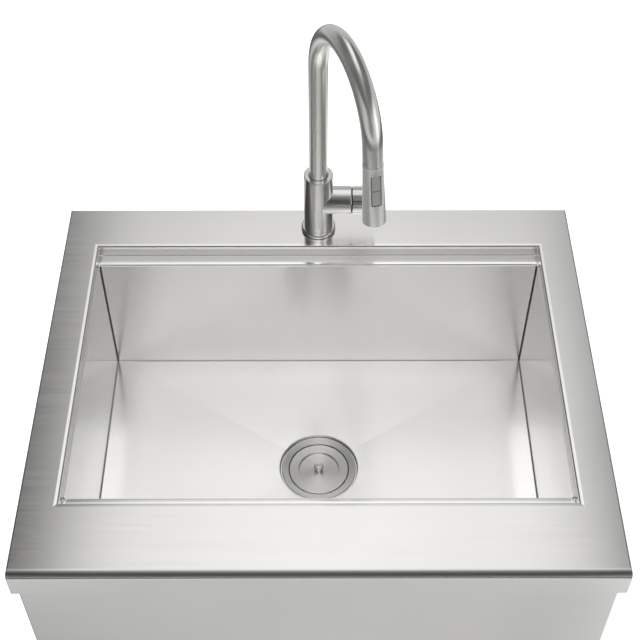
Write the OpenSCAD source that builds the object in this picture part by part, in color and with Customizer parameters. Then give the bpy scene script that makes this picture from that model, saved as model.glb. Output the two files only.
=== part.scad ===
// Apron-front kitchen sink with a basket strainer and a pull-down tap.
// X runs right, Y runs back and Z up. The origin lies on the drain's axis, level with the deck.

/* [Deck] */
// Clear width of the opening in the deck
open_w = 616; // [560:1:760]
// Clear depth of the opening in the deck
open_d = 421.3; // [400:0.1:460]
// Deck width in front of the opening
front_rim = 96.5; // [80:0.5:130]
// Deck width behind the opening
back_rim = 72.8; // [68:0.1:110]
// Deck width beside the opening
side_rim = 47.5; // [46:0.5:80]
// Height of the skirt that hangs from the deck's edge
lip_h = 41; // [36:0.5:50]
// Thickness of the folded steel sheet
sheet = 1.5; // [1:0.1:2]
// Radius of the front edge
nose_r = 10; // [5:0.5:14]
// Radius of the side and back edges
edge_r = 2.2; // [2.1:0.1:4]
// Radius of the turned-down edge round the opening
turn_r = 2.5; // [2.2:0.1:4]
// Height of the turned-down edge round the opening
turn_h = 6; // [5:0.5:8]
// Width of the flange turned in at the foot of the skirt
seat_w = 15; // [10:0.5:20]

/* [Bowl] */
// Depth of the bowl at its walls, below the deck
bowl_depth = 233; // [180:1:260]
// Fall of the floor from the walls to the drain
floor_fall = 6; // [2:0.5:9]
// Depth of the ledges below the deck
ledge_drop = 18.6; // [14:0.1:26]
// Width of the ledges
ledge_w = 18; // [12:0.5:30]
// Radius of the ledges' inner edge
ledge_r = 2.5; // [2.2:0.1:4]
// Seam between the ledges and the side walls
ledge_seam = 0.3; // [0.1:0.05:0.6]
// Radius of the drain recess in the floor
recess_r = 58.2; // [57.2:0.1:62]
// Depth of the drain recess below the lowest point of the pitched floor
recess_depth = 3.5; // [3:0.1:5]
// Depth of the dish inside the recess, which takes the flange's slope
dish_depth = 2.4; // [2.4:0.1:3.5]
// Radius of the drain hole
drain_hole_r = 44.5; // [44.2:0.1:46]
// Thickness of the sound pads
pad_t = 3; // [2:0.5:5]
// Height of the sound pads
pad_h = 120; // [60:5:150]
// Part of each side wall's length that its pad covers
pad_share = 0.6; // [0.3:0.05:0.8]

/* [Apron] */
// Height of the apron's foot below the deck
apron_h = 254; // [200:1:280]
// Distance from the skirt's face back to the apron's face
apron_inset = 5.8; // [4:0.1:9]
// Depth of the apron's side returns
apron_return = 60; // [40:1:90]
// Width of the flange at the apron's foot
apron_foot = 20; // [12:1:30]
// Radius of the apron's upright corners
apron_r = 3; // [2:0.1:6]
// Width of an apron bracket
bracket_w = 30; // [20:1:50]
// Thickness of an apron bracket
bracket_t = 2; // [1.5:0.1:3]
// Height of a bracket's end tabs
bracket_tab = 25; // [15:1:40]
// Distance between the apron brackets
bracket_pitch = 400; // [200:10:500]

/* [Clips] */
// Thickness of the cabinet rail that the clips grip
rail_t = 19; // [12:0.5:22]
// Distance between the clips along one side
clip_pitch = 220; // [150:5:280]
// Length of the clip channels
channel_l = 320; // [300:5:360]
// Width of the clip channels
channel_w = 20; // [16:0.5:22]
// Height of the clip channels
channel_h = 10; // [8:0.5:12]
// Width of the channels' slot
channel_slot = 7; // [6.8:0.1:9]
// Radius of the clip bolts
clip_bolt_r = 3; // [2.5:0.1:3.2]
// Width of a clip plate
clip_w = 28; // [20:1:40]
// Thickness of a clip plate
clip_t = 3; // [2:0.5:4]
// Width across the flats of the clip nuts
clip_nut_w = 12; // [11:0.5:14]

/* [Drain] */
// Radius of the strainer's flange
flange_r = 56.8; // [55:0.1:57]
// Radius of the flange's mouth
mouth_r = 42.6; // [41:0.1:42.8]
// Thickness of the strainer's wall
strainer_t = 1.3; // [1:0.1:1.4]
// Depth of the flange's slope
flange_slope = 3.6; // [2:0.1:4.5]
// Height of the upright part of the cup
cup_upright = 21; // [18:0.5:26]
// Height of the cup's cone
cup_cone = 28; // [24:0.5:34]
// Radius inside the cup's outlet
outlet_r = 21; // [20:0.1:22]
// Height of the cup's threaded outlet
outlet_h = 18; // [14:0.5:24]
// Radius outside the tailpiece
tail_r = 19.05; // [19:0.05:19.6]
// Wall of the tailpiece
tail_t = 1.3; // [1:0.1:1.6]
// Length of the tailpiece
tail_l = 100; // [60:1:150]
// Length of the tailpiece's neck, which its nut turns on
tail_neck_h = 12; // [10:0.5:20]
// Extra radius of that neck
tail_neck = 0.4; // [0.2:0.05:0.6]
// Gap between the cover disc and the flange's mouth
disc_gap = 1.1; // [0.6:0.1:2]
// Radius of the step in the cover disc
disc_step_r = 29; // [20:0.5:33]
// Depth of the step in the cover disc
disc_step = 2.6; // [1.5:0.1:3]
// Thickness of the cover disc
disc_t = 1; // [0.8:0.1:1.4]
// Radius of the strainer's knob
knob_r = 7; // [5:0.5:9]
// Height of the knob above the cover disc
knob_h = 9; // [6:0.5:10]
// Radius of the strainer's rod
post_r = 3; // [2:0.1:4]
// Number of slots in the basket
basket_slots = 16; // [8:1:20]

/* [Tap body] */
// Radius of the tap's body
body_r = 20.15; // [19:0.05:22]
// Height of the tap's body above the deck
body_h = 102; // [95:1:120]
// Radius of the ring under the body
base_r = 24; // [22.5:0.1:28]
// Height of the ring under the body
base_h = 6; // [4:0.1:8]
// Thickness of the gasket under that ring
gasket_t = 0.8; // [0.5:0.1:1.5]
// Height of the collar on top of the body
collar_h = 5; // [4:0.1:8]
// Radius of the collar's bore
collar_bore_r = 13.5; // [13.2:0.1:14]
// Radius of the tap hole in the deck
tap_hole_r = 17.5; // [17:0.1:18]
// Radius of the threaded shank
shank_r = 16.5; // [16.2:0.1:16.6]
// Radius of the shank's bore
shank_bore_r = 14; // [13.9:0.1:14.3]
// Length of the shank below the deck
shank_l = 58; // [50:1:70]
// Thickness of the mounting nut
mount_nut_h = 12; // [8:0.5:16]
// Radius of the mounting nut
mount_nut_r = 27; // [25:0.5:28]
// Minor radius of the inlets' thread
inlet_r = 4.46; // [4.2:0.01:4.6]
// Depth of the inlets' thread
inlet_l = 14; // [10:0.5:16]
// Radius of the spray hose
hose_r = 6; // [5:0.1:6.2]

/* [Valve and handle] */
// Height of the valve's axis above the deck
valve_z = 54; // [50:0.5:60]
// Radius of the valve branch
branch_r = 19.3; // [18.5:0.1:20]
// Distance from the tap's axis to the branch's end
branch_l = 44.7; // [42:0.1:50]
// Gap between the branch and the hub
hub_gap = 2.4; // [1.6:0.1:3]
// Radius of the hub
hub_r = 19; // [18:0.1:20]
// Distance from the tap's axis to the hub's end
hub_end = 80; // [78:0.5:90]
// Distance from the tap's axis to the tilt pivot
pivot_x = 30; // [29:0.1:31]
// Radius of the cartridge
cartridge_r = 14.9; // [14.5:0.1:15.5]
// Radius of the cartridge's stem
stem_r = 3.5; // [3:0.1:3.8]
// Radius of the tilt pin
tilt_pin_r = 1.5; // [1:0.1:1.8]
// Distance from the tap's axis to the lever's axis
lever_x = 70; // [66:0.5:72]
// Radius at the lever's root
lever_r = 4.5; // [3:0.1:6]
// Radius at the lever's tip
lever_tip_r = 3.6; // [2.5:0.1:5]
// Height of the lever's tip above the deck
lever_top = 165; // [120:1:185]

/* [Spout] */
// Radius of the spout tube
tube_r = 12.6; // [12:0.05:12.9]
// Wall of the spout tube
tube_t = 1; // [0.8:0.1:1.2]
// Height of the straight riser above the deck
riser_z = 285; // [200:1:340]
// Radius of the spout's arch
arch_r = 88; // [70:1:120]
// Angle of the spout's arch
arch_a = 172.5; // [150:0.5:180]
// Angle of the spout from straight forward, toward +X
spout_turn = 20.9; // [-60:0.1:60]
// Length of the straight end, spray head included
end_l = 107.5; // [100:0.5:140]

/* [Spray head] */
// Length of the spray head, collar included
head_l = 83; // [80:0.5:86]
// Radius of the head's collar
head_collar_r = 13; // [12.8:0.1:14]
// Height of the head's collar
head_collar_h = 3; // [2:0.1:5]
// Radius at the top of the casing
head_top_r = 12.75; // [12.7:0.05:13]
// Radius at the foot of the casing
head_foot_r = 14.6; // [14.2:0.1:16]
// Wall of the casing
head_t = 1.5; // [1.2:0.1:1.7]
// Angle of the head about its own axis
head_turn = 6.5; // [-60:0.5:60]
// Distance from the head's foot to the foot of its button
button_foot = 30; // [22:0.1:30]
// Length of the button
button_l = 41.8; // [36:0.1:44]
// Width of the button
button_w = 12; // [9:0.1:13]
// Radius of the button's corners
button_corner = 2; // [1:0.1:4]
// Gap round the button
button_gap = 0.4; // [0.35:0.05:0.6]
// Radius of the neck that docks in the spout
neck_r = 8.6; // [8:0.1:9]
// Number of spray nozzles
nozzle_n = 16; // [8:1:20]

/* [Hidden] */
$fn = 72;

// A face that a cut runs past, so that no skin is left
past = 1;
// Running clearance of a shaft in its hole
run = 0.08;
// Clearance between pieces that are fitted and don't turn
fit = 0.05;
// Gap between pieces on different bodies
gap = 0.3;
// Length and extra radius by which a straight bar laps over the arch that it joins
lap = 0.3;
lap_r = 0.04;

steel = [0.78, 0.78, 0.77];
bright = [0.88, 0.88, 0.87];
nickel = [0.66, 0.65, 0.63];
dark = [0.12, 0.12, 0.12];
grey = [0.45, 0.46, 0.47];
brass = [0.80, 0.66, 0.36];
white = [0.93, 0.93, 0.92];

// Deck
half_w = open_w / 2;
half_d = open_d / 2;
out_x = half_w + side_rim;
out_front = -(half_d + front_rim);
out_back = half_d + back_rim;
// Bowl
bowl_half_d = half_d - ledge_w;
ledge_z = -ledge_drop;
wall_top = ledge_z - sheet - ledge_r;
floor_z = -bowl_depth;
recess_z = floor_z - floor_fall - recess_depth;
// Apron
apron_x = out_x - apron_inset;
apron_y = out_front + apron_inset;
apron_top = -(nose_r + sheet);
pad_margin = 5;
// Clips
clip_x = (half_w + out_x) / 2;
seat_z = -lip_h;
clip_z = seat_z - rail_t;
channel_t = 1.5;
bolt_head_h = 3;
bolt_tail = 14;
clip_nut_h = 5;
bolt_foot = clip_z - clip_t - bolt_tail;
// Drain, from the recess up and down
seal_t = 1;
flange_t = 2;
flange_z = recess_z + seal_t + flange_t;
mouth_z = flange_z - flange_slope;
cone_z = mouth_z - cup_upright;
outlet_z = cone_z - cup_cone;
cup_foot = outlet_z - outlet_h;
strainer_r = mouth_r + strainer_t;
thread_t = 2.6;
outlet_out_r = outlet_r + thread_t;
rim_w = 3;
slope_w = 9.5;
dish_r = mouth_r + slope_w + 1;
under_z = recess_z - dish_depth - sheet;
gasket_h = 2.5;
card_h = 1;
lock_h = 10;
lock_wall = 5;
lock_flange_h = 2.5;
ear_w = 8;
ear_n = 6;
washer_h = 2;
tail_lip_h = 1.5;
coupling_h = 20;
coupling_floor = 3;
coupling_wall = 3.4;
disc_z = mouth_z + 1;
cap_rise = 1.8;
cup_inset = 4.2;
cup_t = 0.8;
cup_slot_w = 3;
cup_slot_h = 14;
cup_slot_z = 6;
cup_gap = 0.4;
basket_top_r = mouth_r - cup_inset;
basket_foot_r = 29;
basket_h = 25;
stopper_h = 4;
stopper_lip = 1;
post_foot_h = 3;
post_foot_w = 2.5;
basket_z = disc_z - disc_t;
basket_foot = basket_z - basket_h;
cup_slope = (mouth_r - outlet_r) / cup_cone;
// Radius that clears the strainer's cone at a height
function cone_r(z) = mouth_r - (cone_z - z) * cup_slope - gap * norm([1, cup_slope]);
// Tap body
tap_y = (half_d + out_back) / 2;
stiffener_l = 120;
stiffener_t = 2;
stiffener_inset = 8;
stiffener_foot = -sheet - stiffener_t;
rubber_h = 3;
plate_h = 2;
washer_r = mount_nut_r + 1;
screw_ring_r = (mount_nut_r + shank_r) / 2;
screw_r = 2.5;
screw_head_h = 3;
screw_head_w = 1.8;
manifold_h = 22;
manifold_foot = -shank_l + 6;
inlet_x = 6.9;
inlet_y = 5.5;
guide_y = 5.7;
bushing_z = 74;
bushing_lip = 2;
tube_foot = bushing_z + bushing_lip + gap;
bushing_bore_r = 14.5;
bushing_top = body_h - collar_h;
groove_h = 2.4;
groove_r = tube_r + 1;
groove_z = [bushing_top - 16, bushing_top - 8];
body_way_r = 9;
socket_z = 22;
// Valve, whose dome and hub share one centre
dome_r = norm([branch_l - pivot_x, branch_r]);
bowl_r = norm([branch_l + hub_gap - pivot_x, hub_r]);
branch_bore_r = cartridge_r + 0.4;
cartridge_back = 17.7;
cartridge_front = 6;
cavity_back = 14;
cavity_wall = 4.9;
cartridge_x = pivot_x - cartridge_back;
cartridge_end = pivot_x + cartridge_front;
cavity_r = cartridge_r - cavity_wall;
cavity_x = pivot_x - cavity_back;
disc_h = 3;
nut_h = 6;
nut_way = 7.3;
nut_end = cartridge_end + nut_h;
slot_w = 2 * stem_r + 0.4;
slot_back = 6;
stem_back = 4;
stem_end = lever_x - 4;
set_screw_x = stem_end - 8;
set_screw_in = 2;
lever_root_z = valve_z + stem_r + past;
// Spout
arch_end = [arch_r * (1 - cos(arch_a)), 0, riser_z + arch_r * sin(arch_a)];
head_s = end_l - head_l;
tube_end = head_s - gap;
bore_r = tube_r - tube_t;
dock_s = 8;
neck_s = 14;
connector_s = 1.6;
connector_r = 7.5;
hose_end = connector_s - gap;
nipple_r = 3.9;
nipple_l = 8;
hose_foot = -28;
// Spray head
casing_s = head_s + head_collar_h;
casing_l = end_l - casing_s;
plate_in = 9;
plate_t = 7;
plate_gap = 0.35;
plate_s = end_l - plate_in;
plate_r = head_foot_r - head_t - plate_gap;
core_r = 7.5;
core_top_h = 4;
core_foot_h = 5;
button_mid = end_l - button_foot - button_l / 2;
button_in = 9.6;
window_in = core_r + gap;
button_pin_r = 0.9;
pin_d = 10.9;
aerator_r = 5.5;
aerator_t = 1.2;
aerator_h = 8;
aerator_web = 6;
nozzle_r = 0.9;
nozzle_h = 8;
nozzle_ring_r = (plate_r + aerator_r) / 2;

// A rectangle whose two upper corners are round
module round_topped(left, right, bottom, top, r_left, r_right) {
    r_max = max(r_left, r_right);
    translate([left, bottom]) square([right - left, top - r_max - bottom]);
    translate([left + r_left, bottom]) square([right - left - r_left - r_right, top - bottom]);
    translate([left + r_left, top - r_left]) circle(r_left);
    translate([right - r_right, top - r_right]) circle(r_right);
    if (r_left < r_max) translate([left, bottom]) square([r_left, top - r_left - bottom]);
    if (r_right < r_max) {
        translate([right - r_right, bottom]) square([r_right, top - r_right - bottom]);
    }
}

// A ring between two radii
module ring(r_out, r_in, h) {
    difference() {
        cylinder(r = r_out, h = h);
        translate([0, 0, -past]) cylinder(r = r_in, h = h + 2 * past);
    }
}

// The deck's outer form, drawn in by a distance
module deck_form(inset) {
    foot = seat_z - inset;
    intersection() {
        rotate([90, 0, 90])
            linear_extrude(2 * (out_x - inset), center = true)
                round_topped(out_front + inset, out_back - inset, foot, -inset,
                             nose_r - inset, edge_r - inset);
        translate([0, out_back, 0]) rotate([90, 0, 0])
            linear_extrude(out_back - out_front)
                round_topped(inset - out_x, out_x - inset, foot, -inset,
                             edge_r - inset, edge_r - inset);
    }
}

// The section of an edge that turns down at the origin, with the opening at -X
module turned_section(r, h, t, tail) {
    difference() {
        translate([r, -r]) circle(r);
        translate([r, -r]) circle(r - t);
        translate([r, -2 * r - past]) square([r + past, 2 * r + 2 * past]);
        translate([-past, -2 * r - past]) square([2 * r + past, r + past]);
    }
    translate([0, -h]) square([t, h - r]);
    translate([r, -t]) square([tail, t]);
}

// The turned-down edge along one side of the opening
module turned_edge(length, reach) {
    translate([reach, length / 2, 0]) rotate([90, 0, 0])
        linear_extrude(length) turned_section(turn_r, turn_h, sheet, sheet);
}

// The apron's outline in plan, drawn in by a distance and run on at its open side by a tail
module apron_plan(inset, tail) {
    r = max(apron_r - inset, 0.4);
    mirror([0, 1]) round_topped(inset - apron_x, apron_x - inset, -(apron_y + apron_return + tail),
                                -(apron_y + inset), r, r);
}

module deck() color(steel) {
    difference() {
        deck_form(0);
        deck_form(sheet);
        cube([2 * (half_w + turn_r), 2 * (half_d + turn_r), 4 * lip_h], center = true);
        translate([0, tap_y, -lip_h]) cylinder(r = tap_hole_r, h = 2 * lip_h);
    }
    for (side = [0, 1]) mirror([side, 0, 0]) turned_edge(open_d + 2 * turn_r, half_w);
    for (turn = [-90, 90]) rotate([0, 0, turn]) turned_edge(open_w + 2 * turn_r, half_d);
    difference() {
        translate([sheet - out_x, out_front + sheet, seat_z])
            cube([2 * (out_x - sheet), out_back - out_front - 2 * sheet, sheet]);
        translate([seat_w - out_x, apron_y, seat_z - past])
            cube([2 * (out_x - seat_w), out_back - seat_w - apron_y, sheet + 2 * past]);
        translate([0, 0, seat_z - past]) linear_extrude(sheet + 2 * past) apron_plan(0, 0);
    }
}

// A four-sided slope that falls to the drain's axis, with its rim at z = 0
module pitch(x, y, fall) {
    intersection() {
        translate([0, y, 0]) rotate([90, 0, 0]) linear_extrude(2 * y)
            polygon([[-x, 0], [x, 0], [0, -fall]]);
        rotate([90, 0, 90]) linear_extrude(2 * x, center = true)
            polygon([[-y, 0], [y, 0], [0, -fall]]);
    }
}

// A block from the floor up, with the pitched floor as its foot
module bowl_form(x, y, foot, top) {
    translate([-x, -y, foot]) cube([2 * x, 2 * y, top - foot]);
    translate([0, 0, foot]) pitch(x, y, floor_fall);
}

module bowl() color(steel) {
    difference() {
        union() {
            bowl_form(half_w + sheet, bowl_half_d + sheet, floor_z - sheet, wall_top);
            translate([0, 0, recess_z - sheet]) cylinder(r = recess_r + sheet, h = floor_z + past - recess_z);
            translate([0, 0, under_z]) cylinder(r = dish_r + sheet, h = dish_depth + sheet);
        }
        bowl_form(half_w, bowl_half_d, floor_z, wall_top + past);
        translate([0, 0, recess_z]) cylinder(r = recess_r, h = 2 * recess_depth + floor_fall);
        translate([0, 0, recess_z - dish_depth]) cylinder(r = dish_r, h = dish_depth + recess_depth);
        translate([0, 0, under_z - past]) cylinder(r = drain_hole_r, h = 2 * sheet);
    }
    for (side = [0, 1]) mirror([side, 0, 0])
        translate([half_w, -half_d - sheet, wall_top])
            cube([sheet, 2 * (half_d + sheet), -turn_h - wall_top]);
}

// A ledge: riser, shelf and turned-down inner edge
module ledge() {
    length = 2 * (half_w - ledge_seam);
    translate([-length / 2, half_d, ledge_z - sheet])
        cube([length, sheet, -turn_h - ledge_z + sheet]);
    translate([0, bowl_half_d, ledge_z]) rotate([0, 0, 90])
        translate([0, length / 2, 0]) rotate([90, 0, 0])
            linear_extrude(length)
                turned_section(ledge_r, sheet + ledge_r, sheet, ledge_w - ledge_r + sheet);
}

module back_ledge() color(bright) ledge();

module front_ledge() color(bright) mirror([0, 1, 0]) ledge();

module apron() color(steel) {
    difference() {
        translate([0, 0, -apron_h]) linear_extrude(apron_h + apron_top) apron_plan(0, 0);
        translate([0, 0, sheet - apron_h]) linear_extrude(apron_h) apron_plan(sheet, past);
        translate([apron_foot - apron_x, apron_y + apron_foot, -apron_h - past])
            cube([2 * (apron_x - apron_foot), apron_return, sheet + 2 * past]);
    }
}

module apron_brackets() color(steel) {
    back = -bowl_half_d - sheet;
    front = apron_y + sheet;
    z = floor_z + bracket_tab;
    for (side = [-1, 1]) translate([side * bracket_pitch / 2 - bracket_w / 2, 0, 0]) {
        translate([0, front, z]) cube([bracket_w, back - front, bracket_t]);
        translate([0, front, z - bracket_tab]) cube([bracket_w, bracket_t, bracket_tab]);
        translate([0, back - bracket_t, z]) cube([bracket_w, bracket_t, bracket_tab]);
    }
}

// The pads on the front and back walls are as long as the room between the brackets
module sound_pads() color(dark) {
    z = floor_z + (bowl_depth - pad_h) / 2 - ledge_drop;
    x = half_w + sheet;
    y = bowl_half_d + sheet;
    side_l = 2 * pad_share * y;
    back_l = bracket_pitch - bracket_w - 2 * pad_margin;
    for (side = [0, 1]) {
        mirror([side, 0, 0]) translate([x, -side_l / 2, z]) cube([pad_t, side_l, pad_h]);
        mirror([0, side, 0]) translate([-back_l / 2, y, z]) cube([back_l, pad_t, pad_h]);
    }
}

module faucet_stiffener() color(steel) {
    width = back_rim - 2 * stiffener_inset;
    difference() {
        translate([-stiffener_l / 2, tap_y - width / 2, stiffener_foot])
            cube([stiffener_l, width, stiffener_t]);
        translate([0, tap_y, -lip_h]) cylinder(r = tap_hole_r, h = 2 * lip_h);
    }
}

// The four places where a clip hangs
module at_clips() {
    for (x = [-1, 1], y = [-1, 1]) translate([x * clip_x, y * clip_pitch / 2, 0]) children();
}

module clip_channels() color(steel) {
    for (side = [-1, 1]) translate([side * clip_x, channel_l / 2, -sheet]) rotate([90, 0, 0])
        linear_extrude(channel_l) difference() {
            translate([-channel_w / 2, -channel_h]) square([channel_w, channel_h]);
            translate([channel_t - channel_w / 2, channel_t - channel_h])
                square([channel_w - 2 * channel_t, channel_h - 2 * channel_t]);
            translate([-channel_slot / 2, -channel_h - past]) square([channel_slot, 2 * channel_t]);
        }
}

// Bolt heads sit in the channels and their shafts hang through the slots
module clip_bolts() color(steel) {
    head_z = -sheet - channel_h + channel_t;
    head_w = channel_w - 2 * channel_t - 1;
    at_clips() {
        translate([0, 0, head_z + bolt_head_h / 2]) cube([head_w, head_w, bolt_head_h], center = true);
        translate([0, 0, bolt_foot]) cylinder(r = clip_bolt_r, h = head_z - bolt_foot + past);
    }
}

// Each plate sits on its bolt's nut and reaches out under the cabinet's rail
module clip_plates() color(steel) {
    reach = out_x - sheet - clip_x - past;
    at_clips() difference() {
        translate([-clip_w / 2, -clip_w / 2, clip_z - clip_t]) cube([clip_w, clip_w, clip_t]);
        translate([0, 0, clip_z - clip_t - past]) cylinder(r = clip_bolt_r + gap, h = clip_t + 2 * past);
    }
    for (side = [0, 1], y = [-1, 1]) mirror([side, 0, 0])
        translate([clip_x + clip_w / 2 - past, y * clip_pitch / 2 - clip_w / 2, clip_z - clip_t])
            cube([reach - clip_w / 2 + past, clip_w, clip_t]);
}

module clip_nuts() color(steel) {
    at_clips() translate([0, 0, clip_z - clip_t - clip_nut_h]) difference() {
        cylinder(d = clip_nut_w / cos(30), h = clip_nut_h, $fn = 6);
        translate([0, 0, -past]) cylinder(r = clip_bolt_r + fit, h = clip_nut_h + 2 * past);
    }
}

// Strainer: flange, upright wall, cone and threaded outlet in one turned piece
module strainer_body() color(bright) {
    slope_r = mouth_r + slope_w;
    rotate_extrude() polygon([
        [flange_r, flange_z - flange_t], [flange_r, flange_z - 1.2], [flange_r - 1.2, flange_z],
        [flange_r - rim_w, flange_z], [slope_r, flange_z - 0.4], [mouth_r, mouth_z],
        [mouth_r, cone_z], [outlet_r, outlet_z], [outlet_r, cup_foot], [outlet_out_r, cup_foot],
        [outlet_out_r, outlet_z - 0.6], [strainer_r, cone_z - 0.6],
        [strainer_r, flange_z - flange_slope - 1.8], [slope_r, flange_z - flange_t]
    ]);
}

module flange_seal() color(dark) {
    translate([0, 0, recess_z]) ring(flange_r - past, dish_r + fit, seal_t);
}

module under_gasket() color(dark) {
    translate([0, 0, under_z - gasket_h]) ring(flange_r, strainer_r + fit, gasket_h);
}

module friction_ring() color([0.72, 0.6, 0.42]) {
    translate([0, 0, under_z - gasket_h - card_h]) ring(flange_r - 1, strainer_r + fit, card_h);
}

module lock_nut() color(steel) {
    z = under_z - gasket_h - card_h - lock_h;
    translate([0, 0, z]) difference() {
        union() {
            cylinder(r = strainer_r + lock_wall, h = lock_h);
            translate([0, 0, lock_h - lock_flange_h]) cylinder(r = flange_r - 1, h = lock_flange_h);
            for (i = [0 : ear_n - 1]) rotate([0, 0, i * 360 / ear_n])
                translate([strainer_r + lock_wall / 2, -ear_w / 2, 0])
                    cube([flange_r - 2 - strainer_r - lock_wall / 2, ear_w, lock_h]);
        }
        translate([0, 0, -past]) cylinder(r = strainer_r + fit, h = lock_h + 2 * past);
    }
}

module tailpiece_washer() color(white) {
    translate([0, 0, cup_foot - washer_h]) ring(outlet_out_r, tail_r - tail_t, washer_h);
}

module coupling_nut() color(steel) {
    z = cup_foot - washer_h - tail_lip_h - coupling_floor;
    translate([0, 0, z]) difference() {
        cylinder(d = 2 * (outlet_out_r + coupling_wall) / cos(30), h = coupling_h, $fn = 6);
        translate([0, 0, coupling_floor]) cylinder(r = outlet_out_r + fit, h = coupling_h);
        translate([0, 0, -past]) cylinder(r = tail_r + tail_neck + gap, h = coupling_h);
    }
}

module tailpiece() color(bright) {
    z = cup_foot - washer_h;
    translate([0, 0, z - tail_l]) ring(tail_r, tail_r - tail_t, tail_l);
    translate([0, 0, z - tail_neck_h]) ring(tail_r + tail_neck, tail_r - tail_t, tail_neck_h);
    translate([0, 0, z - tail_lip_h]) ring(outlet_out_r, tail_r - tail_t, tail_lip_h);
}

// Cover disc with a step and a cone that rises to the knob
module basket_cap() color(bright) {
    r = mouth_r - disc_gap;
    low = disc_z - disc_step;
    rotate_extrude() polygon([
        [post_r + fit, low + cap_rise], [disc_step_r - 1.4, low], [disc_step_r, disc_z],
        [r - 0.8, disc_z], [r, disc_z - 0.8], [r - 0.4, disc_z - disc_t - 0.4],
        [disc_step_r + 0.9, disc_z - disc_t], [disc_step_r - 0.6, low - disc_t],
        [post_r + fit, low + cap_rise - disc_t]
    ]);
}

module basket_cup() color(steel) {
    top_z = basket_z - cup_gap;
    difference() {
        rotate_extrude() polygon([
            [basket_top_r, top_z], [basket_foot_r, basket_foot],
            [post_r + fit, basket_foot], [post_r + fit, basket_foot + cup_t],
            [basket_foot_r - cup_t, basket_foot + cup_t], [basket_top_r - cup_t, top_z]
        ]);
        for (i = [0 : basket_slots - 1]) rotate([0, 0, i * 360 / basket_slots])
            translate([basket_foot_r - 4, -cup_slot_w / 2, basket_foot + cup_slot_z])
                cube([basket_top_r, cup_slot_w, cup_slot_h]);
    }
}

// The stopper's side runs along the strainer's cone
module basket_seal() color(dark) {
    low = basket_foot - stopper_h;
    lip_z = basket_foot - stopper_lip;
    rotate_extrude() polygon([
        [post_r + fit, low], [cone_r(low), low], [cone_r(lip_z), lip_z],
        [cone_r(lip_z) - 2 * stopper_lip, basket_foot], [post_r + fit, basket_foot]
    ]);
}

module basket_post() color(bright) {
    low = disc_z - disc_step + cap_rise;
    top_z = disc_z + knob_h;
    foot_top = basket_foot - stopper_h;
    foot = foot_top - post_foot_h;
    foot_r = post_r + post_foot_w;
    rotate_extrude() polygon([
        [0, foot], [foot_r, foot], [foot_r, foot_top], [post_r, foot_top],
        [post_r, low], [post_r + 1.6, low + 0.1], [post_r + 0.6, low + 2.6],
        [knob_r - 0.8, top_z - 4], [knob_r, top_z - 2.6], [knob_r, top_z - 1.2],
        [knob_r - 1.2, top_z], [2.2, top_z - 0.3], [1.6, top_z - 1], [0, top_z - 1]
    ]);
}

// Places what belongs to the tap
module at_tap() {
    translate([0, tap_y, 0]) children();
}

module base_gasket() color(dark) {
    at_tap() ring(base_r - past, shank_r + gap, gasket_t);
}

module base_flange() color(nickel) {
    round_r = 2;
    at_tap() rotate_extrude() {
        translate([shank_r + gap, gasket_t]) square([base_r - round_r - shank_r - gap, base_h - gasket_t]);
        translate([base_r - round_r, gasket_t]) square([round_r, base_h - gasket_t - round_r]);
        translate([base_r - round_r, base_h - round_r]) circle(round_r);
    }
}

// Turns a piece so that its Z axis runs out along the valve's axis
module along_valve() {
    translate([0, 0, valve_z]) rotate([0, 90, 0]) children();
}

module faucet_body() color(nickel) {
    at_tap() difference() {
        union() {
            translate([0, 0, base_h]) cylinder(r = body_r, h = bushing_top - base_h);
            intersection() {
                along_valve() cylinder(r = branch_r, h = 2 * branch_l);
                union() {
                    translate([pivot_x, 0, valve_z]) sphere(r = dome_r);
                    translate([0, -body_r, 0]) cube([pivot_x, 2 * body_r, body_h]);
                }
            }
        }
        translate([0, 0, bushing_z]) cylinder(r = bushing_bore_r, h = body_h);
        translate([0, 0, socket_z - past]) cylinder(r = body_way_r, h = body_h);
        translate([0, 0, base_h - past]) cylinder(r = shank_r + fit, h = socket_z - base_h + past);
        along_valve() translate([0, 0, cartridge_x]) cylinder(r = branch_bore_r, h = branch_l);
    }
}

module body_collar() color(bright) {
    chamfer = 0.8;
    at_tap() rotate_extrude() polygon([
        [collar_bore_r, bushing_top], [body_r, bushing_top], [body_r, body_h - chamfer],
        [body_r - chamfer, body_h], [collar_bore_r + chamfer / 2, body_h],
        [collar_bore_r, body_h - chamfer / 2]
    ]);
}

module shank() color(brass) {
    at_tap() translate([0, 0, -shank_l]) ring(shank_r, shank_bore_r, shank_l + socket_z);
}

module rubber_washer() color(dark) {
    at_tap() translate([0, 0, stiffener_foot - rubber_h]) ring(washer_r, shank_r + gap, rubber_h);
}

module mounting_washer() color(steel) {
    at_tap() translate([0, 0, stiffener_foot - rubber_h - plate_h])
        ring(washer_r, shank_r + gap, plate_h);
}

// The screws' places on the mounting nut
module at_nut_screws() {
    at_tap() translate([0, 0, stiffener_foot - rubber_h - plate_h])
        for (side = [-1, 1]) translate([side * screw_ring_r, 0, 0]) children();
}

module mounting_nut() color(brass) {
    difference() {
        at_tap() translate([0, 0, stiffener_foot - rubber_h - plate_h - mount_nut_h])
            ring(mount_nut_r, shank_r + fit, mount_nut_h);
        at_nut_screws() translate([0, 0, -2 * mount_nut_h]) cylinder(r = screw_r + fit, h = 3 * mount_nut_h);
    }
}

module nut_screws() color(steel) {
    at_nut_screws() translate([0, 0, -mount_nut_h - screw_head_h]) {
        cylinder(r = screw_r, h = mount_nut_h + screw_head_h);
        cylinder(r = screw_r + screw_head_w, h = screw_head_h);
    }
}

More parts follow.
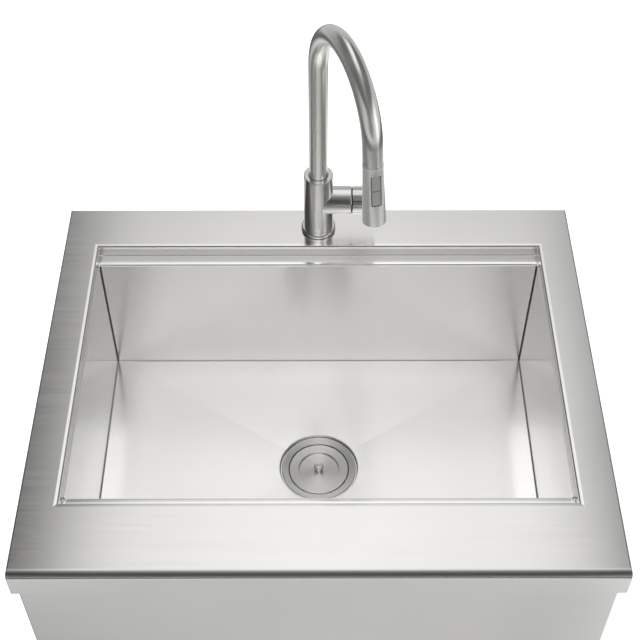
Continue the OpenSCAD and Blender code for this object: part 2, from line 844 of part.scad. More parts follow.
// Plug in the shank with both inlets and the way for the spray hose
module inlet_manifold() color(brass) {
    at_tap() translate([0, 0, manifold_foot]) difference() {
        cylinder(r = shank_bore_r - fit, h = manifold_h);
        for (side = [-1, 1]) translate([side * inlet_x, inlet_y, -past])
            cylinder(r = inlet_r, h = inlet_l + past);
        for (side = [-1, 1]) translate([side * inlet_x, inlet_y, 0])
            cylinder(r = inlet_r / 2, h = manifold_h + past);
        translate([0, -guide_y, -past]) cylinder(r = hose_r + 0.4, h = manifold_h + 2 * past);
    }
}

module swivel_bushing() color(white) {
    at_tap() difference() {
        translate([0, 0, bushing_z]) cylinder(r = bushing_bore_r - fit, h = bushing_top - bushing_z);
        translate([0, 0, bushing_z - past]) cylinder(r = body_way_r, h = body_h);
        translate([0, 0, bushing_z + bushing_lip]) cylinder(r = tube_r + run, h = body_h);
        for (z = groove_z) translate([0, 0, z]) cylinder(r = groove_r, h = groove_h);
    }
}

module swivel_o_rings() color(dark) {
    at_tap() for (z = groove_z) translate([0, 0, z + fit])
        ring(groove_r - fit, tube_r + run / 2, groove_h - 2 * fit);
}

// Fixed housing of the mixing cartridge, open toward the stem
module cartridge() color(grey) {
    at_tap() along_valve() difference() {
        translate([0, 0, cartridge_x]) cylinder(r = cartridge_r, h = cartridge_end - cartridge_x);
        translate([0, 0, cavity_x]) cylinder(r = cavity_r, h = cartridge_end);
    }
}

module ceramic_disc() color(white) {
    at_tap() along_valve() translate([0, 0, cavity_x]) cylinder(r = cavity_r - fit, h = disc_h);
}

module cartridge_nut() color(brass) {
    at_tap() along_valve() translate([0, 0, cartridge_end])
        ring(branch_bore_r - fit, stem_r + nut_way, nut_end - cartridge_end);
}

// Rotor with a slot for the stem and a bore for the tilt pin
module cartridge_rotor() color(white) {
    foot = cavity_x + disc_h + gap;
    at_tap() difference() {
        along_valve() translate([0, 0, foot]) cylinder(r = cavity_r - run, h = cartridge_end - past - foot);
        translate([pivot_x - slot_back, -slot_w / 2, valve_z - cavity_r - past])
            cube([cartridge_end, slot_w, 2 * (cavity_r + past)]);
        translate([pivot_x, 0, valve_z]) rotate([90, 0, 0])
            cylinder(r = tilt_pin_r + fit, h = 3 * cavity_r, center = true);
    }
}

module tilt_pin() color(steel) {
    at_tap() translate([pivot_x, 0, valve_z]) rotate([90, 0, 0])
        cylinder(r = tilt_pin_r, h = 2 * (cavity_r - past), center = true);
}

module cartridge_stem() color(brass) {
    at_tap() difference() {
        along_valve() translate([0, 0, pivot_x - stem_back])
            cylinder(r = stem_r, h = stem_end - pivot_x + stem_back);
        translate([pivot_x, 0, valve_z]) rotate([90, 0, 0])
            cylinder(r = tilt_pin_r + run, h = 4 * stem_r, center = true);
    }
}

// Hub, hollowed by a ball about the tilt pivot so that it swings clear of the branch's dome
module handle_hub() color(nickel) {
    round_r = 1.5;
    at_tap() difference() {
        along_valve() rotate_extrude() difference() {
            union() {
                translate([0, pivot_x]) square([hub_r, hub_end - round_r - pivot_x]);
                translate([0, pivot_x]) square([hub_r - round_r, hub_end - pivot_x]);
                translate([hub_r - round_r, hub_end - round_r]) circle(round_r);
            }
            translate([0, pivot_x]) circle(bowl_r);
        }
        along_valve() cylinder(r = stem_r + fit, h = stem_end + fit);
        translate([lever_x, 0, lever_root_z]) cylinder(r = lever_r + fit, h = 2 * hub_r);
        translate([set_screw_x, 0, valve_z - hub_r]) cylinder(r = screw_r + fit, h = hub_r - stem_r);
    }
}

module lever() color(nickel) {
    at_tap() translate([lever_x, 0, 0]) rotate_extrude() {
        polygon([
            [0, lever_root_z], [lever_r, lever_root_z], [lever_r, valve_z + hub_r],
            [lever_tip_r, lever_top - lever_tip_r], [0, lever_top - lever_tip_r]
        ]);
        intersection() {
            translate([0, lever_top - lever_tip_r]) circle(lever_tip_r);
            translate([0, lever_top - lever_tip_r]) square(lever_tip_r);
        }
    }
}

module lever_set_screw() color(steel) {
    at_tap() translate([set_screw_x, 0, valve_z - hub_r + set_screw_in])
        cylinder(r = screw_r, h = hub_r - stem_r - set_screw_in);
}

// Turns the tap's frame so that X runs the way the spout points
module at_spout() {
    at_tap() rotate([0, 0, spout_turn - 90]) children();
}

// The straight end's frame: Z runs down along the flow from the end of the arch
module at_end() {
    at_spout() translate(arch_end) rotate([0, arch_a, 0]) children();
}

// Bends a round section along the spout's arch
module along_arch() {
    translate([arch_r, 0, riser_z]) mirror([1, 0, 0]) rotate([90, 0, 0])
        rotate_extrude(angle = arch_a) translate([arch_r, 0]) children();
}

// Riser and arch are one tube, and the straight end closes over the arch's end
module spout_tube() color(nickel) {
    at_spout() {
        translate([0, 0, tube_foot]) ring(tube_r, bore_r, riser_z - tube_foot);
        along_arch() difference() {
            circle(tube_r);
            circle(bore_r);
        }
    }
    at_end() translate([0, 0, -lap]) ring(tube_r + lap_r, bore_r - lap_r, tube_end + lap);
}

module dock_bushing() color(dark) {
    at_end() translate([0, 0, dock_s]) ring(bore_r - lap_r - fit, neck_r + gap, tube_end - dock_s);
}

module spray_hose() color(grey) {
    at_spout() {
        translate([0, 0, hose_foot]) cylinder(r = hose_r, h = riser_z - hose_foot);
        along_arch() circle(hose_r);
    }
    at_end() translate([0, 0, -lap]) cylinder(r = hose_r + lap_r, h = hose_end + lap);
}

module hose_connector() color(brass) {
    at_end() {
        translate([0, 0, connector_s]) cylinder(r = connector_r, h = neck_s - gap - connector_s);
        translate([0, 0, neck_s - gap - past]) cylinder(r = nipple_r, h = past + nipple_l);
    }
}

// The head's own frame, turned about its axis, with the button toward +X
module at_head() {
    at_end() rotate([0, 0, 180 + head_turn]) children();
}

module head_collar() color(bright) {
    at_head() translate([0, 0, head_s]) ring(head_collar_r, neck_r + fit, head_collar_h);
}

// Neck and waterway in one piece
module head_core() color(white) {
    at_head() difference() {
        union() {
            translate([0, 0, neck_s]) cylinder(r = neck_r, h = casing_s - neck_s + past);
            translate([0, 0, casing_s]) cylinder(r = core_r, h = plate_s - casing_s);
            translate([0, 0, casing_s]) cylinder(r = head_top_r - head_t - fit, h = core_top_h);
            translate([0, 0, plate_s - core_foot_h]) cylinder(r = head_top_r - head_t, h = core_foot_h);
        }
        translate([0, 0, neck_s - past]) cylinder(r = nipple_r + run, h = end_l);
    }
}

// The casing's cone, drawn in by a distance
module casing_form(inset) {
    translate([0, 0, casing_s])
        cylinder(r1 = head_top_r - inset, r2 = head_foot_r - inset, h = casing_l);
}

// The outline of the button, grown by a distance, from a distance off the head's axis outward
module button_prism(grow, from) {
    w = button_w + 2 * grow;
    l = button_l + 2 * grow;
    r = button_corner + grow;
    translate([from, 0, button_mid]) rotate([0, 90, 0]) linear_extrude(head_foot_r) {
        square([l - 2 * r, w], center = true);
        square([l, w - 2 * r], center = true);
        for (x = [-1, 1], y = [-1, 1]) translate([x * (l / 2 - r), y * (w / 2 - r)]) circle(r);
    }
}

module head_shell() color(nickel) {
    at_head() difference() {
        casing_form(0);
        casing_form(head_t);
        translate([0, 0, casing_s - past]) cylinder(r = head_top_r - head_t, h = 2 * past);
        translate([0, 0, end_l - past]) cylinder(r = head_foot_r - head_t, h = 2 * past);
        button_prism(button_gap, window_in);
    }
}

module nozzle_plate() color(grey) {
    at_head() difference() {
        translate([0, 0, plate_s]) cylinder(r = plate_r, h = plate_t);
        translate([0, 0, plate_s - past]) cylinder(r = aerator_r + fit, h = plate_t + 2 * past);
        for (i = [0 : nozzle_n - 1]) rotate([0, 0, i * 360 / nozzle_n])
            translate([nozzle_ring_r, 0, plate_s - past]) cylinder(r = nozzle_r + fit, h = plate_t + 2 * past);
    }
}

module spray_nozzles() color(dark) {
    at_head() for (i = [0 : nozzle_n - 1]) rotate([0, 0, i * 360 / nozzle_n])
        translate([nozzle_ring_r, 0, plate_s]) cylinder(r = nozzle_r, h = nozzle_h);
}

module aerator() color(grey) {
    at_head() translate([0, 0, plate_s]) difference() {
        cylinder(r = aerator_r, h = aerator_h);
        translate([0, 0, aerator_web]) cylinder(r = aerator_r - aerator_t, h = aerator_h);
    }
}

module button_pin() color(steel) {
    at_head() translate([pin_d, 0, button_mid]) rotate([90, 0, 0])
        cylinder(r = button_pin_r, h = button_w + 2 * button_gap, center = true);
}

// The button's face is the casing's own cone
module spray_button() color(nickel) {
    at_head() difference() {
        intersection() {
            casing_form(0);
            button_prism(0, button_in);
        }
        translate([pin_d, 0, button_mid]) rotate([90, 0, 0])
            cylinder(r = button_pin_r + run, h = 2 * button_w, center = true);
    }
}

deck();
bowl();
back_ledge();
front_ledge();
apron();
apron_brackets();
sound_pads();
faucet_stiffener();
clip_channels();
clip_bolts();
clip_plates();
clip_nuts();
strainer_body();
flange_seal();
under_gasket();
friction_ring();
lock_nut();
tailpiece_washer();
coupling_nut();
tailpiece();
basket_cap();
basket_cup();
basket_seal();
basket_post();
base_gasket();
base_flange();
faucet_body();
body_collar();
shank();
rubber_washer();
mounting_washer();
mounting_nut();
nut_screws();
inlet_manifold();
swivel_bushing();
swivel_o_rings();
cartridge();
ceramic_disc();
cartridge_nut();
cartridge_rotor();
tilt_pin();
cartridge_stem();
handle_hub();
lever();
lever_set_screw();
spout_tube();
dock_bushing();
spray_hose();
hose_connector();
head_collar();
head_core();
head_shell();
nozzle_plate();
spray_nozzles();
aerator();
button_pin();
spray_button();
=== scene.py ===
"""Looks of the farmhouse sink and its pull-down tap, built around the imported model."""

import math

import bmesh
import bpy
import numpy as np
from mathutils import Matrix


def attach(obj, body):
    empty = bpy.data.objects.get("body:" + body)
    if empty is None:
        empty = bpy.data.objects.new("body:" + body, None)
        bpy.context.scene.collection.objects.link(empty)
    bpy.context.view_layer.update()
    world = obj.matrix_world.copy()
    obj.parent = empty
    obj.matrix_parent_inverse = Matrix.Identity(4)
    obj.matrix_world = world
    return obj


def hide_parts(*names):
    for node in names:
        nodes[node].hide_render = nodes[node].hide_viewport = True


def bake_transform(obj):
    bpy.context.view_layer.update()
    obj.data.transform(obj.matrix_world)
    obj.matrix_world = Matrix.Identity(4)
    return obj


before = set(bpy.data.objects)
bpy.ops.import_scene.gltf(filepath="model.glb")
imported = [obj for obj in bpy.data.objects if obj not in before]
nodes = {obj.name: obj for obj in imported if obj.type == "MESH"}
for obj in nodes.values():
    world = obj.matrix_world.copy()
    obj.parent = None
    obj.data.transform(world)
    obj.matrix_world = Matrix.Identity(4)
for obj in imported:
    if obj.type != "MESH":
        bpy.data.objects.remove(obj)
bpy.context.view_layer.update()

MM = 0.001
# An edge is sharp or bevelled from these angles up, and packed faces within the last one are joined
SHARP, BEVELLED, FLAT = math.radians(34), math.radians(40), math.radians(0.4)
# Points nearer than this, in metres, are one
DOUBLED = 2e-6
# Added to a sheet's side number for its caps
CAP_SIDE = 90

# Sizes in millimetres, with the deck's top at height 0. The turned edges, the ledges' edges and the drain's
# recess and flange are drawn a little smaller than in the part's source, as the photograph shows them.
SHEET = 1.5
# Half the opening, the deck's outline and its skirt's foot
HALF_W, HALF_D = 308.0, 210.65
OUT_X, OUT_FRONT, OUT_BACK = 355.5, -307.15, 283.45
SKIRT_Z, SKIRT_RETURN = -41.0, 15.0
# The deck's front nose, its other edges, and its turned edge round the opening
NOSE_R, EDGE_R = 10.0, 2.2
TURN_R, TURN_H, EDGE_W, LEAN = 1.8, 6.0, 4.4, math.radians(6)
# Half the bowl from front to back, its ledges, walls and floor
BOWL_D = 192.65
LEDGE_Z, LEDGE_R, LEDGE_GAP = -18.6, 1.4, 0.3
WALL_TOP, WALL_MIDDLE, CORNER_R = -20.8, -120.0, 3.0
FLOOR_Z, FALL = -233.0, 6.0
# The bowl's recess for the strainer's flange, its dish and its hole
RECESS_R, RECESS_Z = 56.6, -242.5
DISH_R, DISH_Z, HOLE_R = 53.1, -244.9, 44.5
# The apron
APRON_X, APRON_Y, APRON_SIDE = 349.7, -301.35, 60.0
APRON_TOP, APRON_FOOT, APRON_RETURN = -11.5, -254.0, 20.0
# The strainer and its cover
FLANGE_Z, MOUTH_R, MOUTH_Z = -239.5, 42.6, -243.1
CONE_Z, OUTLET_Z, CUP_FOOT = -264.1, -292.1, -310.1
DISC_Z = -242.1
# The tap: its place, the valve's height, the spout's tube and its path
TAP_Y, VALVE_Z = 247.05, 54.0
TUBE_R, BORE_R, TUBE_FOOT = 12.6, 11.6, 76.3
RISER_Z, ARCH_R, ARCH_A = 285.0, 88.0, 172.5
SPOUT_TURN, HEAD_TURN = 20.9, 6.5
# Along the head's axis from the arch's end: the collar's and the casing's start and the button's middle
HEAD_S, CASING_S, BUTTON_S = 24.5, 27.5, 56.6
CASING_R, CASING_GROWTH, CASING_L = 13.0, 1.6, 80.0
HOSE_R, HOSE_FOOT, HOSE_END = 6.0, -28.0, 1.3


# Frames

def turned(axis, degrees):
    """A turn about one axis, as a 4 by 4 matrix."""
    return np.array(Matrix.Rotation(math.radians(degrees), 4, axis))


def moved(x, y, z):
    """A shift, as a 4 by 4 matrix."""
    return np.array(Matrix.Translation((x, y, z)))


PLAIN = np.eye(4)
TAP = moved(0, TAP_Y, 0)
LEVER = TAP @ moved(70, 0, 0)
VALVE = TAP @ moved(0, 0, VALVE_Z) @ turned("Y", 90)
SPOUT = TAP @ turned("Z", SPOUT_TURN - 90)
ARCH_END = (ARCH_R * (1 - math.cos(math.radians(ARCH_A))), 0,
            RISER_Z + ARCH_R * math.sin(math.radians(ARCH_A)))
END = SPOUT @ moved(*ARCH_END) @ turned("Y", ARCH_A)
HEAD = END @ turned("Z", 180 + HEAD_TURN)


def placed(points, place):
    """Each point times the place's matrix."""
    return points @ place[:3, :3].T + place[:3, 3]


def seen_from(points, place):
    """Points in metres as millimetres in the place's own axes."""
    return (points / MM - place[:3, 3]) @ place[:3, :3]


# Surfaces

def rounded(corners, steps=6, closed=True):
    """An outline of straight runs joined by arcs. At a corner (a, b, r) the arc touches both runs r over
    the tangent of half the inner angle from the corner, and its points are the centre plus r times a
    direction that turns evenly from one touching point to the other."""
    spots = np.array([c[:2] for c in corners], float)
    radii = [c[2] if len(c) > 2 else 0 for c in corners]
    share = np.linspace(0, 1, steps + 1)[:, None]
    runs = []
    for i, (p, r) in enumerate(zip(spots, radii)):
        if r <= 0 or (not closed and i in (0, len(spots) - 1)):
            runs.append(p[None])
            continue
        a, b = spots[i - 1] - p, spots[(i + 1) % len(spots)] - p
        a, b = a / np.linalg.norm(a), b / np.linalg.norm(b)
        half = math.acos(np.clip(a @ b, -1, 1)) / 2
        centre = p + (a + b) / np.linalg.norm(a + b) * r / math.sin(half)
        u, v = p + a * r / math.tan(half) - centre, p + b * r / math.tan(half) - centre
        turn = math.pi - 2 * half
        runs.append(centre + (np.sin((1 - share) * turn) * u + np.sin(share * turn) * v) / math.sin(turn))
    return np.concatenate(runs)


def run_along(points, way=0):
    """The length run from the start to each point, along a line or along one way of a grid."""
    steps = np.linalg.norm(np.diff(points, axis=way), axis=-1)
    return np.concatenate([np.zeros_like(np.take(steps, [0], way)), np.cumsum(steps, way)], way)


def closed_round(grid):
    """A grid with its first column once more at its end."""
    return np.concatenate([grid, grid[:, :1]], 1)


def sheet_of(points, close_i=False, close_j=False, grain=None, caps=(), side=0):
    """A grid surface: quads between neighbouring points P(i, j), closed round either way. The grain map is
    (length along j, length along i), summed from point to point, unless it is given. Caps are further
    faces, as lists of point numbers, and the side is the number that all the faces carry."""
    p = np.asarray(points, float)
    m, n = p.shape[:2]
    wide = np.concatenate([p, p[:1]]) if close_i else p
    wide = closed_round(wide) if close_j else wide
    if grain is None:
        grain = np.stack([run_along(wide, 1), run_along(wide, 0)], -1)
    i, j = np.meshgrid(np.arange(wide.shape[0] - 1), np.arange(wide.shape[1] - 1), indexing="ij")
    ci, cj = np.stack([i, i + 1, i + 1, i], -1), np.stack([j, j, j + 1, j + 1], -1)
    faces = ((ci % m) * n + cj % n).reshape(-1, 4)
    uv = grain[ci, cj].reshape(-1, 2)
    return {"co": p.reshape(-1, 3), "faces": faces.tolist(), "uv": uv, "caps": list(caps), "side": side}


def lathed(outline, place=PLAIN, turns=128, closed=True):
    """A profile of (radius, height) turned about the place's Z axis: P(i, j) is the profile's point i at
    the angle of share j. A closed profile makes a ring, and an open one runs from axis to axis."""
    r, z = np.asarray(outline, float).T
    a = np.linspace(0, 2 * math.pi, turns, endpoint=False)
    grid = np.stack([r[:, None] * np.cos(a), r[:, None] * np.sin(a),
                     np.repeat(z[:, None], turns, 1)], -1)
    return sheet_of(placed(grid, place), closed, True)


def both_ends(n):
    """The faces that close a grid of two rings of n points."""
    return [list(range(n)), list(range(n, 2 * n))]


def extruded(outline, start, end):
    """A closed outline in the XY plane carried straight from one height to another, with both ends
    closed."""
    xy = np.asarray(outline, float)
    grid = np.stack([np.column_stack([xy, np.full(len(xy), h)]) for h in (start, end)])
    return sheet_of(grid, False, True, caps=both_ends(len(xy)))


def values_of(items, what, width=1, kind=float):
    """One value of each of a mesh's items as an array, with a row for each item where it is a vector."""
    found = np.empty(len(items) * width, kind)
    items.foreach_get(what, found)
    return found.reshape(-1, width) if width > 1 else found


def smoothed(mesh, bm, is_smooth):
    """Shades a mesh smooth except along the edges that a rule leaves out, and writes it back."""
    for e in bm.edges:
        e.smooth = is_smooth(e)
    for f in bm.faces:
        f.smooth = True
    bm.to_mesh(mesh)
    bm.free()


def meshed(name, sheets, recalculate=True):
    """One mesh from several sheets. Doubled points are merged, faces point outward, and edges are sharp
    where the surface turns by more than an angle or where two numbered sides meet."""
    co, faces, uv, sides = [], [], [], []
    offset = 0
    for s in sheets:
        co.append(s["co"] * MM)
        uv.append(s["uv"] * MM)
        faces += [[k + offset for k in f] for f in s["faces"]]
        sides += [s["side"]] * len(s["faces"])
        for cap in s["caps"]:
            spots = s["co"][cap]
            two_longest = np.sort(np.argsort(np.ptp(spots, 0))[::-1][:2])
            faces.append([k + offset for k in cap])
            uv.append(spots[:, two_longest] * MM)
            sides.append(s["side"] + CAP_SIDE)
        offset += len(s["co"])
    mesh = bpy.data.meshes.new(name)
    mesh.from_pydata(np.concatenate(co), [], faces)
    mesh.uv_layers.new(name="grain").data.foreach_set("uv", np.concatenate(uv).astype(np.float32).ravel())
    mesh.attributes.new("side", "INT", "FACE").data.foreach_set("value", sides)
    bm = bmesh.new()
    bm.from_mesh(mesh)
    side = bm.faces.layers.int["side"]
    bmesh.ops.remove_doubles(bm, verts=bm.verts, dist=DOUBLED)
    if recalculate:
        bmesh.ops.recalc_face_normals(bm, faces=bm.faces)
    smoothed(mesh, bm, lambda e: (len(e.link_faces) == 2 and e.calc_face_angle(0) < SHARP
                                  and e.link_faces[0][side] == e.link_faces[1][side]))
    mesh.attributes.remove(mesh.attributes["side"])
    return mesh


def grain_about(co, place):
    """Each point's grain map round the place's Z axis: (angle times radius, height), in metres."""
    local = seen_from(co, place)
    radius = np.hypot(local[:, 0], local[:, 1]).max()
    return np.stack([np.arctan2(local[:, 1], local[:, 0]) * radius, local[:, 2]], -1) * MM


def copied(name, node, about=None):
    """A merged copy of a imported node, its flat faces joined. Its grain map goes round the axis of a place
    where one is given, and otherwise lies along the two longest ways of each face."""
    source = nodes[node].data
    triangles = values_of(source.loops, "vertex_index", kind=np.int32).reshape(-1, 3)
    mesh = bpy.data.meshes.new(name)
    mesh.from_pydata(values_of(source.vertices, "co", 3), [], triangles.tolist())
    bm = bmesh.new()
    bm.from_mesh(mesh)
    bmesh.ops.remove_doubles(bm, verts=bm.verts, dist=DOUBLED)
    bmesh.ops.dissolve_limit(bm, angle_limit=FLAT, verts=bm.verts, edges=bm.edges)
    smoothed(mesh, bm, lambda e: len(e.link_faces) == 2 and e.calc_face_angle(0) < SHARP)
    points = values_of(mesh.vertices, "co", 3)
    corners = points[values_of(mesh.loops, "vertex_index", kind=np.int32)]
    totals = values_of(mesh.polygons, "loop_total", kind=np.int32)
    if about is None:
        normals = np.abs(np.repeat(values_of(mesh.polygons, "normal", 3), totals, 0))
        uv = np.take_along_axis(corners, np.sort(np.argsort(normals, 1)[:, :2], 1), 1)
    else:
        uv = grain_about(corners, about)
        middle = grain_about(np.repeat(values_of(mesh.polygons, "center", 3), totals, 0), about)
        radius = np.hypot(*seen_from(points, about)[:, :2].T).max() * MM
        lap = 2 * math.pi * radius
        uv[:, 0] -= np.round((uv[:, 0] - middle[:, 0]) / lap) * lap
    mesh.uv_layers.new(name="grain").data.foreach_set("uv", uv.astype(np.float32).ravel())
    return mesh


def piece(name, mesh, finish, slot, body="root", stands_for=(), bevel=0.0, segments=2, wall=0.0):
    """Puts a mesh in the scene as a piece of a body, with its finish, and evens its shading."""
    obj = bpy.data.objects.new(name, mesh)
    bpy.context.scene.collection.objects.link(obj)
    mesh.materials.append(finish)
    if wall:
        shell = obj.modifiers.new("wall", "SOLIDIFY")
        shell.thickness, shell.offset, shell.use_even_offset = wall * MM, -1, True
    if bevel:
        edge = obj.modifiers.new("edges", "BEVEL")
        edge.width, edge.segments, edge.limit_method = bevel * MM, segments, "ANGLE"
        edge.angle_limit = BEVELLED
    even = obj.modifiers.new("even shading", "WEIGHTED_NORMAL")
    even.keep_sharp, even.weight = True, 50
    if body:
        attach(obj, body)
    if stands_for:
        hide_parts(*stands_for)
    return obj


def formed(name, sheets, *rest, recalculate=True, **more):
    """A piece made of sheets."""
    return piece(name, meshed(name, sheets, recalculate), *rest, **more)


def partly(obj, finish, chosen):
    """Gives a second finish to the faces that a rule takes: it gets their centres in millimetres and the
    sizes of their normals' parts, each as X, Y and Z."""
    mesh = obj.data
    centres, normals = values_of(mesh.polygons, "center", 3), values_of(mesh.polygons, "normal", 3)
    before = values_of(mesh.polygons, "material_index", kind=np.int32)
    taken = chosen(centres.T / MM, np.abs(normals.T))
    mesh.materials.append(finish)
    mesh.polygons.foreach_set("material_index", np.where(taken, len(mesh.materials) - 1, before))


def flat_faced(mesh, place, face_r=11.2, sunk=1.7, width=0.9, length=0.97):
    """The spray button with a flat face: its width and length are drawn in a little, and each point further
    from the head's axis than face_r goes to a distance inside the casing's cone, whose radius grows evenly
    along the axis."""
    local = seen_from(values_of(mesh.vertices, "co", 3), place)
    outer = local[:, 0] > face_r
    cone = CASING_R + CASING_GROWTH * (local[:, 2] - CASING_S) / CASING_L
    local[outer, 0] = cone[outer] - sunk
    local[:, 1] *= width
    local[:, 2] = BUTTON_S + (local[:, 2] - BUTTON_S) * length
    mesh.vertices.foreach_set("co", (placed(local, place) * MM).ravel())
    return mesh


# Finishes

def put(tree, kind, inputs=None, **settings):
    """Adds a node, sets its values and links the sockets given for its inputs."""
    made = tree.nodes.new(kind)
    for key, value in settings.items():
        setattr(made, key, value)
    for key, value in (inputs or {}).items():
        if isinstance(value, bpy.types.NodeSocket):
            tree.links.new(value, made.inputs[key])
        else:
            made.inputs[key].default_value = value
    return made


def output_of(tree, kind, inputs=None, **settings):
    """Adds a node and gives its first output."""
    return put(tree, kind, inputs, **settings).outputs[0]


def finish_named(name):
    """A material with only its Principled shader, and that shader."""
    made = bpy.data.materials.new(name)
    made.use_nodes = True
    return made, made.node_tree, made.node_tree.nodes["Principled BSDF"]


def spread(tree, value, low, high, to_low=0.0, to_high=1.0):
    """A value carried from one range to another."""
    return output_of(tree, "ShaderNodeMapRange", {"Value": value, "From Min": low, "From Max": high,
                                                  "To Min": to_low, "To Max": to_high})


def combined(tree, operation, a, b):
    """Two values joined by one operation."""
    return output_of(tree, "ShaderNodeMath", {0: a, 1: b}, operation=operation)


def times(tree, a, b):
    """One value times another."""
    return combined(tree, "MULTIPLY", a, b)


def object_place(tree):
    """The point's place on the piece, in metres."""
    return put(tree, "ShaderNodeTexCoord").outputs["Object"]


def noise_in(tree, where, scale, detail, **more):
    """Noise of a size at a place, from 0 to 1."""
    return output_of(tree, "ShaderNodeTexNoise", {"Vector": where, "Scale": scale, "Detail": detail, **more})


def raised(tree, height, strength, distance):
    """The normal over a relief."""
    return output_of(tree, "ShaderNodeBump", {"Height": height, "Strength": strength, "Distance": distance})


def stretched_noise(tree, vector, scale, detail=3.0):
    """Noise whose cells are stretched, with a scale for each way."""
    way = output_of(tree, "ShaderNodeMapping", {"Vector": vector, "Scale": scale})
    return noise_in(tree, way, 1.0, detail, Roughness=0.6)


def tinted(tree, value, dark, light):
    """A colour between two by a value from 0 to 1."""
    made = put(tree, "ShaderNodeMix", {"Factor": value}, data_type="RGBA")
    made.inputs["A"].default_value = (*dark, 1)
    made.inputs["B"].default_value = (*light, 1)
    return made.outputs["Result"]


def toned(tree, value, colour, tone):
    """A colour a share darker to a share lighter by a value from 0 to 1."""
    c = np.array(colour)
    return tinted(tree, value, tuple(c * (1 - tone)), tuple(np.minimum(c * (1 + tone), 1)))


def brushed(name, colour, roughness, anisotropy, along=16.0, across=1100.0, tone=0.03, smear=0.05,
            relief=0.10, cloud=0.03, metallic=1.0):
    """Metal with a grain: hair lines long in the grain map's first way and about a millimetre wide in its
    second, in colour, roughness and relief, and soft clouds over the whole piece."""
    made, tree, shader = finish_named(name)
    grain = output_of(tree, "ShaderNodeUVMap", uv_map="grain")
    hair = stretched_noise(tree, grain, (along, across, 1))
    band = stretched_noise(tree, grain, (along * 0.22, across * 0.12, 1), 2.0)
    both = combined(tree, "ADD", hair, band)
    shade = toned(tree, spread(tree, both, 0.7, 1.3), colour, tone)
    mist = noise_in(tree, object_place(tree), 5.0, 2.0)
    cloudy = tinted(tree, spread(tree, mist, 0.35, 0.65), (1 - cloud,) * 3, (1, 1, 1))
    clouded = put(tree, "ShaderNodeMix", data_type="RGBA", blend_type="MULTIPLY")
    clouded.inputs["Factor"].default_value = 1.0
    tree.links.new(shade, clouded.inputs["A"])
    tree.links.new(cloudy, clouded.inputs["B"])
    tree.links.new(clouded.outputs["Result"], shader.inputs["Base Color"])
    tree.links.new(spread(tree, both, 0.7, 1.3, roughness - smear, roughness + smear),
                   shader.inputs["Roughness"])
    tree.links.new(raised(tree, hair, relief, 0.0001), shader.inputs["Normal"])
    way = output_of(tree, "ShaderNodeTangent", direction_type="UV_MAP", uv_map="grain")
    tree.links.new(way, shader.inputs["Tangent"])
    shader.inputs["Metallic"].default_value = metallic
    shader.inputs["Anisotropic"].default_value = anisotropy
    shader.inputs["Anisotropic Rotation"].default_value = 0.25
    return made


def moulded(name, colour, roughness, tone=0.06, grain=220.0, relief=0.15, metallic=0.0, distance=0.0002):
    """A cast, moulded or rolled finish: fine grain in roughness and relief and a soft change of tone, both
    noise in the piece's own place."""
    made, tree, shader = finish_named(name)
    where = object_place(tree)
    fine, broad = noise_in(tree, where, grain, 4.0), noise_in(tree, where, grain / 9, 2.0)
    tree.links.new(toned(tree, spread(tree, broad, 0.3, 0.7), colour, tone), shader.inputs["Base Color"])
    tree.links.new(spread(tree, fine, 0.3, 0.7, roughness - 0.06, min(roughness + 0.06, 1)),
                   shader.inputs["Roughness"])
    tree.links.new(raised(tree, fine, relief, distance), shader.inputs["Normal"])
    shader.inputs["Metallic"].default_value = metallic
    return made


def woven(name, from_place=None, strands=8.0, rise=1500.0):
    """The hose's braid: two families of slanting strands that cross, light on their crowns and dark in
    the gaps. That tone by the strands' height is painted shade over the braid's own weave. A strand's height
    is the sine of its share of the turn plus or minus its rise, and the higher of the two shows. They follow
    the grain map, or the angle and height about a place's axis."""
    made, tree, shader = finish_named(name)
    if from_place is None:
        grain = output_of(tree, "ShaderNodeUVMap", uv_map="grain")
        x, height, _ = put(tree, "ShaderNodeSeparateXYZ", {0: grain}).outputs
        turn = times(tree, x, 1 / (HOSE_R * MM))
    else:
        back = Matrix(from_place.tolist()).inverted()
        spun = output_of(tree, "ShaderNodeMapping", {"Vector": object_place(tree),
                                                     "Rotation": back.to_euler(),
                                                     "Location": back.translation * MM})
        x, y, height = put(tree, "ShaderNodeSeparateXYZ", {0: spun}).outputs
        turn = combined(tree, "ARCTAN2", y, x)
    turns, risen = times(tree, turn, strands), times(tree, height, rise)
    phases = [combined(tree, way, turns, risen) for way in ("ADD", "SUBTRACT")]
    left, right = (output_of(tree, "ShaderNodeMath", {0: p}, operation="SINE") for p in phases)
    crown = spread(tree, combined(tree, "MAXIMUM", left, right), 0.0, 1.0)
    # Colour by strand height: painted shade, dark in the gaps and light on the crowns.
    tree.links.new(tinted(tree, crown, (0.10, 0.10, 0.10), (0.62, 0.62, 0.61)), shader.inputs["Base Color"])
    tree.links.new(raised(tree, crown, 0.6, 0.0004), shader.inputs["Normal"])
    shader.inputs["Metallic"].default_value = 0.6
    shader.inputs["Roughness"].default_value = 0.38
    return made


